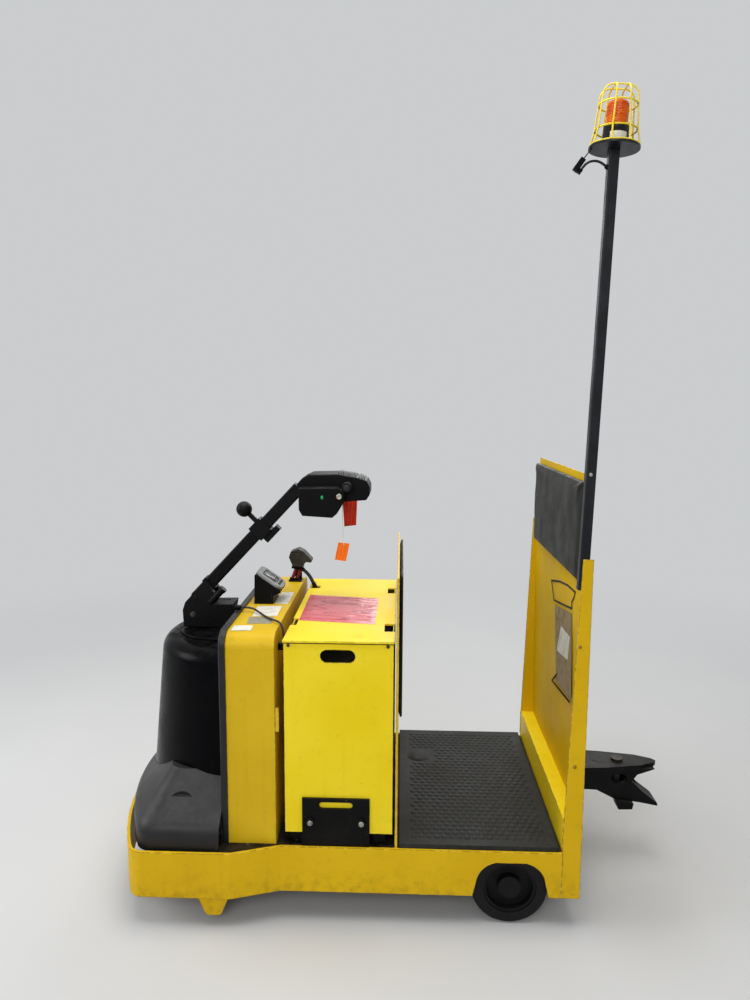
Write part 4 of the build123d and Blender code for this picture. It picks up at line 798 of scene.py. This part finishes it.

# %% [markdown]
# ## Weld beads
#
# The sheets are joined by welds, and a weld is a row of overlapping scales. Geometry Nodes lays them along a line:
# the curve is cut into even steps, each step gets one round bead, and small random changes of size keep it from
# looking machined.

# %% Lay the beads
def bead_tree():
    bead = Recipe("weld_beads", Bead_Radius=0.003, Pitch=0.0026, Seed=7)
    given = bead.given
    curve = bead.add("GeometryNodeMeshToCurve", {"Mesh": given["Geometry"]})
    points = bead.add("GeometryNodeCurveToPoints", {"Curve": curve, "Length": given["Pitch"]}, mode="LENGTH")
    ball = bead.add("GeometryNodeMeshUVSphere", {"Segments": 8, "Rings": 5, "Radius": given["Bead Radius"]})
    vary = bead.add("FunctionNodeRandomValue", {2: 0.82, 3: 1.15, "Seed": given["Seed"]}, 1)
    return bead.set_shape(ball, points, Scale=vary)

# %% Beads along the seams
BEADS = bead_tree()


def weld(name, x, y, low, high, radius):
    """Beads up an upright seam at (x, y), and up its twin on the tractor's other side."""
    mesh = bpy.data.meshes.new(name + "_runs")
    mesh.from_pydata([(x, side * y, z) for side in (1, -1) for z in (low, high)], [(0, 1), (2, 3)], [])
    values = {"Bead Radius": radius, "Pitch": radius * 0.85}
    return bake_tree(mesh, BEADS, values, name, frame_enamel, "chassis", 60)


SKIRT_SEAM = (-0.529, gusset_half - 0.0008, 0.108, 0.256)
GUSSET_SHEET = 0.006
kick_low, kick_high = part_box("kick_box")
weld("skirt_welds", *SKIRT_SEAM, 0.0022)
weld("kick_welds", kick_high[0], gusset_half - GUSSET_SHEET, kick_low[2] + 0.016, kick_high[2], 0.0026)

# %% [markdown]
# ## The cushions
#
# The driver leans on a thin grey vinyl pad, and another protects the knees. A box with a leather picture would look
# hard. Vinyl over foam swells between its edges and pulls in at its rim, and a cloth simulation gives just that: a
# slightly small copy of the pad is remeshed, blown up by a little pressure for twenty frames, and then frozen.

# %% Vinyl
def vinyl(name, body, rubbed):
    skin = Finish(name, Specular_IOR_Level=0.1)
    grain = skin.cells(520)
    creases = skin.noise(14, 6, 0.6)
    colour = skin.blend(skin.span(skin.noise(6, 5, 0.6), 0.4, 0.7), body, rubbed)
    colour = skin.blend(skin.span(skin.noise(70, 6, 0.7), 0.6, 0.75, 0, 0.35), colour, (80, 77, 70))
    bumped = skin.bumps(creases, 0.0016)
    bumped = skin.bumps(grain, 0.00022, normal=bumped)
    return skin.feed(Base_Color=colour, Roughness=skin.span(creases, 0.3, 0.7, 0.42, 0.62), Normal=bumped)


pad_vinyl = vinyl("pad_vinyl", (42, 43, 39), (52, 52, 48))

# %% A pad blown up by the cloth solver
def cushion(name, node, shrink, voxel, cap):
    """A pad in the node's box, swelled by the cloth solver and frozen."""
    low, high = (Vector(corner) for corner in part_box(node))
    middle, size = (low + high) / 2, high - low
    bm = bmesh.new()
    block(bm, [side - 2 * shrink for side in size], Matrix.Translation(middle), min(size) * 0.32, 3)
    pad = stand(name, mesh_of(bm, name))
    remesh = pad.modifiers.new("remesh", "REMESH")
    remesh.mode = "VOXEL"
    remesh.voxel_size = voxel
    freeze(pad)
    rest = [vert.co.copy() for vert in pad.data.vertices]
    back = low.x + 0.0015
    held = pad.vertex_groups.new(name="backing")
    held.add([i for i, place in enumerate(rest) if place.x < low.x + shrink + 0.002], 1.0, "REPLACE")
    cloth = pad.modifiers.new("cloth", "CLOTH").settings
    cloth.use_pressure = True
    cloth.uniform_pressure_force = 4.0
    cloth.effector_weights.gravity = 0.0
    cloth.vertex_group_mass = "backing"
    cloth.quality = 5
    scene = bpy.context.scene
    for step in range(1, 21):
        scene.frame_set(step)
    freeze(pad)
    scene.frame_set(1)
    for vert, start in zip(pad.data.vertices, rest):
        travel = vert.co - start
        if travel.length > cap:
            vert.co = start + travel * (cap / travel.length)
        vert.co.x = max(vert.co.x, back)
    smooth = pad.modifiers.new("smooth", "SUBSURF")
    smooth.levels = smooth.render_levels = 1
    freeze(pad)
    plain = pad.data
    bpy.data.objects.remove(pad, do_unlink=True)
    piece = settle(plain, name, pad_vinyl, "chassis", 180)
    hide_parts(node)


def freeze(thing):
    """Keep what the modifiers make of a mesh, and take them off."""
    plain = plain_mesh(thing)
    thing.modifiers.clear()
    thing.data = plain


cushion("driver_pad", "back_pad", 0.0035, 0.005, 0.005)
cushion("knee_cushion", "knee_pad", 0.0025, 0.0045, 0.004)

# %% [markdown]
# ## Labels, with nothing on them
#
# The console carries paper labels and the backrest a bordered sign with a sheet of paper under it. Here they are
# blank, because a reusable part names nobody. A label could be painted in the material, but it would then have no
# edge. Each is a thin sheet that lies on its own plane, so its corners are all that has to be measured.

# %% Paper, film and a helper for thin sheets
def paper(name, body, stained, gloss=0.6):
    sheet = Finish(name, Specular_IOR_Level=0.2)
    stain = sheet.span(sheet.noise(38, 6, 0.65), 0.45, 0.72, 0.0, 0.8)
    colour = sheet.blend(stain, body, stained)
    skin = sheet.bumps(sheet.noise(120, 4), 0.0003)
    return sheet.feed(Base_Color=colour, Roughness=sheet.span(stain, 0, 0.8, gloss - 0.1, gloss + 0.15), Normal=skin)


SHEET_THICK = 0.0006


def sheet_on(bm, corners, outward):
    """A thin flat sheet over corners that lie in one plane, raised towards outward."""
    middle = sum((Vector(corner) for corner in corners), Vector()) / len(corners)
    place = facing(middle, outward, (0, 0, 1) if abs(Vector(outward).z) < 0.7 else (1, 0, 0))
    into = place.inverted()
    flat = [into @ Vector(corner) for corner in corners]
    area = sum(a.x * b.y - b.x * a.y for a, b in zip(flat, flat[1:] + flat[:1]))
    outline = [(spot.x, spot.y) for spot in (flat if area > 0 else reversed(flat))]
    slab(bm, outline, SHEET_THICK, place)


def sheets(name, stack, outward, material):
    """One piece of thin sheets that face the same way."""
    bm = bmesh.new()
    for corners in stack:
        sheet_on(bm, corners, outward)
    return finish_piece(bm, name, material)


label_white = paper("label_white", (222, 220, 208), (188, 180, 158))
label_grey = paper("label_grey", (150, 146, 128), (112, 104, 82))
edge_black = plastic("edge_black", (14, 12, 10), (40, 34, 26), 0.5, 500, 0.0001, shine=0.12)

# %% Labels on the console, the backrest and the lamp's foot
console_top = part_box("console")[1][2] + 0.0002
CONSOLE_LABELS = (
    [(0.446, -0.112), (0.398, -0.112), (0.398, 0.052), (0.446, 0.052)],
    [(0.500, 0.086), (0.414, 0.082), (0.411, 0.205), (0.493, 0.214)],
    [(0.531, 0.322), (0.469, 0.319), (0.467, 0.372), (0.529, 0.376)])
CONSOLE_PLATE = [(0.502, 0.222), (0.420, 0.217), (0.415, 0.294), (0.494, 0.300)]
for name, spots, material in (("console_labels", CONSOLE_LABELS, label_white),
                              ("console_plate", (CONSOLE_PLATE,), label_grey)):
    sheets(name, [[(x, y, console_top) for x, y in corners] for corners in spots], (0, 0, 1), material)

panel_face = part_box("backrest_panel")[1][0]
SIGN = [(-0.087, 1.022), (0.054, 1.052), (0.176, 1.068), (0.281, 1.071), (0.265, 1.048), (0.240, 1.028),
        (0.244, 1.007), (0.114, 0.985), (-0.032, 0.962)]
SHEET = [(-0.011, 0.950), (0.243, 0.990), (0.270, 0.850), (0.280, 0.708), (0.051, 0.688)]
NOTE = [(0.103, 0.905), (0.236, 0.908), (0.217, 0.822), (0.048, 0.799)]


def on_panel(corners, proud):
    return [(panel_face + proud, y, z) for y, z in corners]


def outline_strip(bm, corners, width, thick):
    """A painted border: one thin bar along each side of the corners."""
    for start, end in zip(corners, corners[1:] + corners[:1]):
        a, b = Vector(start), Vector(end)
        along = b - a
        place = facing((a + b) / 2, (1, 0, 0), along)
        block(bm, (width, along.length + width, thick), place, thick * 0.2, 1)


bm = bmesh.new()
outline_strip(bm, on_panel(SIGN, 0.0006), 0.007, 0.0009)
for bar in ([(0.063, 0.716), (-0.014, 0.662)], [(-0.014, 0.662), (0.262, 0.694)]):
    outline_strip(bm, on_panel(bar, 0.0006), 0.007, 0.0009)
finish_piece(bm, "sign_border", edge_black)
sheets("worn_sign", [on_panel(SHEET, 0.0003)], (1, 0, 0), paper("worn_sign", (150, 128, 84), (110, 96, 74)))
sheets("blank_note", [on_panel(NOTE, 0.0011)], (1, 0, 0), label_white)

LAMP_LEAN = math.radians(3)
lamp_axis = Vector((-math.sin(LAMP_LEAN), 0, math.cos(LAMP_LEAN)))
lamp_place = facing((-0.598, 0.405, 2.385), lamp_axis, (0, 1, 0))
bm = bmesh.new()
band = []
for step in range(13):
    turn = math.radians(90 + 78 * (step / 12 - 0.5))
    band.append([bm.verts.new(lamp_place @ Vector((r * math.cos(turn), r * math.sin(turn), z)))
                 for r, z in ((0.0359, 0.016), (0.0364, 0.016), (0.0364, 0.040), (0.0359, 0.040))])
skin(bm, band, closed=True)
bm.faces.new(band[0])
bm.faces.new(band[-1])
finish_piece(bm, "lamp_label", label_white)

# %% The black seal under the battery cover's rim, which also paints the shadow line there
# A black foam strip round the case under the cover's rim; it also stands for the dark shadow line under the rim, as
# painted shade.
SEAL_THICK, SEAL_TALL = 0.0022, 0.0040
case_low, case_high = (Vector(corner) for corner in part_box("battery_case"))
case_middle, case_size = (case_low + case_high) / 2, case_high - case_low
bm = bmesh.new()
for out_x, out_y in ((0, 1), (0, -1), (-1, 0), (1, 0)):
    away = Vector((out_x * (case_size.x + SEAL_THICK), out_y * (case_size.y + SEAL_THICK), case_size.z - 0.0042)) / 2
    bar = (SEAL_THICK, case_size.y, SEAL_TALL) if out_x else (case_size.x + 0.004, SEAL_THICK, SEAL_TALL)
    block(bm, bar, Matrix.Translation(case_middle + away), 0.0006, 1)
finish_piece(bm, "cover_seal_and_shadow_line", edge_black)

# %% [markdown]
# ## The film on the battery cover
#
# A piece of red plastic film is stuck on the cover, creased along its length. Film is a sheet of fixed size, so it
# is a fine grid over its four corners, lifted by long narrow waves that a noise function gives, and its edges lie
# flat. The wave's height is kept as an attribute, so that the material can paint shade into the creases as a
# darker red.

# %% Lay the film
FILM = [Vector((0.341, -0.147)), Vector((0.076, -0.106)), Vector((0.077, 0.230)), Vector((0.338, 0.194))]
FILM_STEPS = 90
cover_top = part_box("battery_lid")[1][2]


def film_height(x, y):
    """Sharp creases along the tractor's length, soft ones across it."""
    wave = noise.fractal(Vector((x * 9 + y * 6, y * 46, 0.3)), 0.8, 2.1, 4)
    fold = 1.0 - min(1.0, abs(noise.noise(Vector((x * 5 - y * 9, y * 30 + x * 6, 4.7)))) * 7)
    return 0.0011 * (wave + 0.6), fold


def film_mesh():
    bm = bmesh.new()
    # The crease layer tells the material where to paint shade into the film's creases.
    creases = bm.verts.layers.float.new("crease")

    def laid(spot, i, j):
        held = min(1.0, min(i, j, FILM_STEPS - i, FILM_STEPS - j) / 5)
        wave, fold = film_height(spot.x, spot.y)
        vert = bm.verts.new((spot.x, spot.y, cover_top + 0.0005 + max(0.0, wave + 0.0016 * fold) * held))
        vert[creases] = fold * held
        return vert

    skin_grid(bm, FILM, FILM_STEPS, laid)
    bmesh.ops.recalc_face_normals(bm, faces=bm.faces)
    if next(iter(bm.faces)).normal.z < 0:
        bmesh.ops.reverse_faces(bm, faces=bm.faces)
    area = sum(face.calc_area() for face in bm.faces)
    return mesh_of(bm, "red_film"), area

# %% The film's finish, and the piece
def film_finish():
    film = Finish("red_film", Specular_IOR_Level=0.45, Coat_Weight=0.3, Coat_Roughness=0.15)
    fold = film.add("ShaderNodeAttribute", output="Fac", attribute_name="crease")
    haze = film.span(film.noise(9, 5, 0.6), 0.35, 0.7)
    colour = film.blend(haze, (204, 66, 78), (214, 96, 102))
    # Painted shade: the creases darken to a deep red.
    colour = film.blend(film.span(fold, 0.15, 0.85), colour, (150, 16, 40))
    return film.feed(Base_Color=colour, Roughness=film.span(haze, 0, 1, 0.22, 0.36))


mesh, film_area = film_mesh()
film = settle(mesh, "cover_film", film_finish(), "chassis", 180)

# %% [markdown]
# ## The control head's small parts
#
# The thumb wheel is ribbed so that a glove can turn it, and ridges cross the top where the fingers rest. Both are
# one bar set again and again: on a circle for the wheel, along a slope for the ridges. One Geometry Nodes tree
# sets a bar on each loose point and turns it by that point's own angle about the sideways axis.

# %% A tree that sets bars on points
def bar_tree():
    bar = Recipe("ribs", Length=0.02, Width=0.002, Height=0.002)
    given = bar.given
    size = bar.add("ShaderNodeCombineXYZ", {"X": given["Width"], "Y": given["Length"], "Z": given["Height"]})
    ball = bar.add("GeometryNodeMeshUVSphere", {"Segments": 10, "Rings": 6, "Radius": 0.5})
    core = bar.add("GeometryNodeMeshCube", {"Size": (0.7, 0.96, 0.9)})
    sized = bar.add("GeometryNodeTransform", {"Geometry": bar.joined(ball, core), "Scale": size})
    return bar.set_shape(sized, Rotation=bar.add("FunctionNodeEulerToRotation", {0: bar.read("turn")}))

# %% Bars on points with a turn
RIBS = bar_tree()
grip_rubber = plastic("grip_rubber", (38, 38, 42), (62, 62, 68), 0.4, 600, 0.0001, 0.1)


def ribs(name, spots, size):
    """A bar of (length, width, height) on each (point, turn about Y), in the grips' rubber."""
    mesh = marked_points(name, "turn", [(place, (0.0, turn, 0.0)) for place, turn in spots])
    values = dict(zip(("Length", "Width", "Height"), size))
    return bake_tree(mesh, RIBS, values, name, grip_rubber, "tiller", 40)


# %% Ribs, button rims and the green lamp of the control head
WHEEL_AT = (0.1805, 1.3857)
WHEEL_R = 0.016
BUTTON_AT = (0.2065, 1.3547)
ARM_END = (0.3585, 1.3727)
WHEEL_TEETH = 22
wheel_ribs = []
for side in (1, -1):
    for step in range(WHEEL_TEETH):
        turn = 2 * math.pi * step / WHEEL_TEETH
        x = WHEEL_AT[0] + WHEEL_R * math.sin(turn)
        z = WHEEL_AT[1] + WHEEL_R * math.cos(turn)
        wheel_ribs.append(((x, side * 0.1145, z), turn))
ribs("wheel_ribs", wheel_ribs, (0.021, 0.0024, 0.0030))

FINGER_LINE = [(-0.141, 0.055), (-0.214, 0.043), (-0.243, 0.033)]
RIB_STEP = 0.0085
finger_ribs = []
for (x0, z0), (x1, z1) in zip(FINGER_LINE, FINGER_LINE[1:]):
    long = math.hypot(x1 - x0, z1 - z0)
    for step in range(int(long / RIB_STEP)):
        share = (step + 0.5) * RIB_STEP / long
        x = ARM_END[0] + x0 + (x1 - x0) * share
        z = ARM_END[1] + z0 + (z1 - z0) * share
        finger_ribs.append(((x, 0, z), math.atan2(z0 - z1, x1 - x0)))
ribs("finger_ribs", finger_ribs, (0.122, 0.0050, 0.0110))

green_glow = plastic("green_button", (30, 150, 84), (120, 210, 150), 0.3, 300, 0.00005, 0.0)
RIM_PROFILE = [(0, 0.0004), (0.0052, 0.0004), (0.0060, 0.0014), (0.0082, 0.0016), (0.0098, 0.0004), (0.0098, -0.0010),
               (0, -0.0010)]
CAP_PROFILE = [(0, 0.0018), (0.006, 0.0014), (0.0115, 0.0), (0.0115, -0.0010), (0, -0.0010)]
for side, which in ((1, "left"), (-1, "right")):
    for name, (x, z), out, profile, material, slot_name in (
            ("button_rim_", BUTTON_AT, 0.125, RIM_PROFILE, plated_steel, "steel"),
            ("wheel_cap_", WHEEL_AT, 0.127, CAP_PROFILE, grip_rubber, "black_plastic")):
        bm = bmesh.new()
        turned(bm, profile, facing((x, side * out, z), (0, side, 0)), 28)
        finish_piece(bm, name + which, material, "tiller")
bm = bmesh.new()
lit = facing((0.266, 0.113, 1.350), (0, 1, 0))
turned(bm, [(0.0, 0.0020), (0.0030, 0.0016), (0.0046, 0.0004), (0.0048, -0.0006), (0.0, -0.0006)],
       lit @ Matrix.Diagonal((1.0, 1.45, 1.0, 1.0)), 24)
finish_piece(bm, "green_button", green_glow, "tiller")

# %% [markdown]
# ## Two tags that hang from the head
#
# A red vinyl tag hangs under the housing and a small orange one lower down on a thin tie. Both are blank. A tag is
# stiff enough to hang straight, so each is a thin grid with a few long waves, given its thickness by Solidify.

# %% Hang the tags
def tag(name, corners, waves, thick, material):
    """A wavy sheet between four corners (top front, top rear, bottom rear, bottom front)."""
    steps = 28
    bm = bmesh.new()

    def hung(spot, i, j):
        swing = waves * math.sin(j / steps * 21 + i / steps * 1.5) * min(1.0, i / 4)
        return bm.verts.new((spot.x, spot.y + swing, spot.z))

    skin_grid(bm, corners, steps, hung)
    whole = list(bm.faces)
    bmesh.ops.recalc_face_normals(bm, faces=whole)
    bmesh.ops.solidify(bm, geom=whole, thickness=thick)
    return finish_piece(bm, name, material, "tiller", 60)


TAG_Y = 0.070
red_vinyl = paper("red_vinyl", (176, 44, 24), (120, 24, 18), 0.4)
orange_card = paper("orange_card", (246, 118, 26), (226, 96, 20), 0.5)
tag("red_tag", [(0.199, TAG_Y, 1.338), (0.147, TAG_Y, 1.338), (0.151, TAG_Y, 1.248), (0.192, TAG_Y, 1.243)],
    0.0026, 0.0012, red_vinyl)
tag("orange_tag", [(0.214, TAG_Y, 1.186), (0.174, TAG_Y, 1.182), (0.187, TAG_Y, 1.118), (0.226, TAG_Y, 1.124)],
    0.0005, 0.0010, orange_card)
bm = bmesh.new()
wire(bm, [(0.1985, TAG_Y, 1.337), (0.1990, TAG_Y + 0.002, 1.290), (0.1975, TAG_Y + 0.002, 1.230),
          (0.1945, TAG_Y + 0.0005, 1.184), (0.1940, TAG_Y, 1.176)], 0.0009)
wire(bm, [(0.1985, TAG_Y, 1.337), (0.1970, TAG_Y + 0.0005, 1.3385), (0.1950, TAG_Y, 1.337)], 0.0009)
finish_piece(bm, "tag_tie", label_white, "tiller")

# %% [markdown]
# ## The display
#
# The display's grey face has a sunk window. The window gets a dark glass pane inside a black seal, with three soft
# keys below it. The face leans back, so the pieces are made flat and then set on its slope.

# %% Pane, seal and keys
FACE_TILT = math.radians(34.3)
outward = Vector((-math.sin(FACE_TILT), 0, math.cos(FACE_TILT)))
uphill = Vector((math.cos(FACE_TILT), 0, math.sin(FACE_TILT)))
face_middle = Vector((0.468, -0.003, 1.034)) + outward * 0.0093
window_middle = face_middle + uphill * 0.004 - outward * 0.0015
on_face = facing(window_middle, outward, uphill)
pane_glass = plastic("pane_glass", (38, 44, 46), (62, 68, 70), 0.18, 700, 0.00001, 0.1, shine=0.5)
bm = bmesh.new()
slab(bm, rounded_outline(0.064, 0.050, 0.006, 4), 0.0009, on_face, 0.0003)
finish_piece(bm, "display_pane", pane_glass)
bm = bmesh.new()
corners = [on_face @ Vector((x, y, 0.0004)) for x, y in rounded_outline(0.071, 0.0575, 0.008, 4)]
wire(bm, corners + corners[:1], 0.0014)
for y in (-0.024, 0.0, 0.024):
    key = on_face @ Matrix.Translation((y, -0.0405, 0.0016))
    slab(bm, rounded_outline(0.017, 0.009, 0.0035, 4), 0.0016, key, 0.0006)
finish_piece(bm, "display_seal_keys", edge_black)

# %% [markdown]
# ## Floor and light
#
# A product picture wants a plain floor and soft light. The key light hangs overhead, as in a workshop, with weaker
# ones from both sides and the front, and the world fills the rest. A floor that ends in a line would cut the picture
# in two. So the world is a pale tone to camera, mirror and glass rays only, and the floor fades into that same tone
# with distance, also for those rays only. No extra light lands on the machine, and its shadow stays.

# %% The pale backdrop and the floor
BACKDROP = (0.96, 0.98, 1.0, 1.0)
BACKDROP_LEVEL = 0.62
WORLD_LEVEL = 0.42


def seen_directly(tree):
    """1 for rays from the camera, a mirror or glass, 0 for light that spreads."""
    path = tree.nodes.new("ShaderNodeLightPath").outputs
    so_far = path["Is Camera Ray"]
    for kind in ("Is Glossy Ray", "Is Transmission Ray"):
        so_far = add_node(tree, "ShaderNodeMath", {0: so_far, 1: path[kind]}, operation="MAXIMUM").outputs[0]
    return so_far


def studio_floor():
    bm = bmesh.new()
    turned(bm, [(0, 0), (3.0, 0), (9.0, 0), (30.0, 0)], Matrix.Identity(4), 64)
    floor = stand("studio_floor", mesh_of(bm, "studio_floor"))
    pale = Finish("studio_floor", Roughness=0.75, Specular_IOR_Level=0.2)
    colour = pale.blend(pale.noise(1.5, 4), (196, 196, 196), (204, 204, 203))
    floor.data.materials.append(pale.feed(Base_Color=colour))
    away = pale.add("ShaderNodeVectorMath", {0: pale.place}, "Value", operation="LENGTH")
    far = pale.add("ShaderNodeMapRange", {"Value": away, "From Min": 1.6, "From Max": 5.0},
                   interpolation_type="SMOOTHSTEP")
    glow = pale.add("ShaderNodeEmission", {"Color": BACKDROP, "Strength": BACKDROP_LEVEL})
    faded = pale.add("ShaderNodeMixShader", {
        0: pale.times(far, seen_directly(pale.tree)), 1: pale.shader.outputs[0], 2: glow})
    pale.tree.links.new(faded, pale.tree.nodes["Material Output"].inputs["Surface"])

# %% Lamps and world
def studio_light(name, place, target, size, power):
    lamp = bpy.data.lights.new(name, "AREA")
    lamp.shape = "DISK"
    lamp.size = size
    lamp.energy = power
    aim = Vector(place) - Vector(target)
    stand(name, lamp).matrix_world = facing(place, aim, (0, 1, 0) if abs(aim.normalized().z) > 0.9 else (0, 0, 1))


def studio_world():
    world = bpy.data.worlds.new("studio")
    world.use_nodes = True
    tree = world.node_tree
    backdrop = tree.nodes["Background"].inputs
    backdrop["Color"].default_value = BACKDROP
    level_of = add_node(tree, "ShaderNodeMapRange", {
        "Value": seen_directly(tree), "To Min": WORLD_LEVEL, "To Max": BACKDROP_LEVEL})
    tree.links.new(level_of.outputs[0], backdrop["Strength"])
    bpy.context.scene.world = world


studio_floor()
studio_light("overhead", (0.3, 0.6, 5.2), (0, 0, 0.6), 3.6, 150)
studio_light("camera_side", (0.8, 4.6, 3.0), (0, 0, 0.8), 2.2, 70)
studio_light("far_side", (-0.8, -4.4, 3.2), (0, 0, 0.8), 2.6, 60)
studio_light("front_side", (4.4, 0.6, 2.4), (0, 0, 0.8), 2.0, 66)
studio_world()
bpy.context.scene.view_settings.view_transform = "Standard"
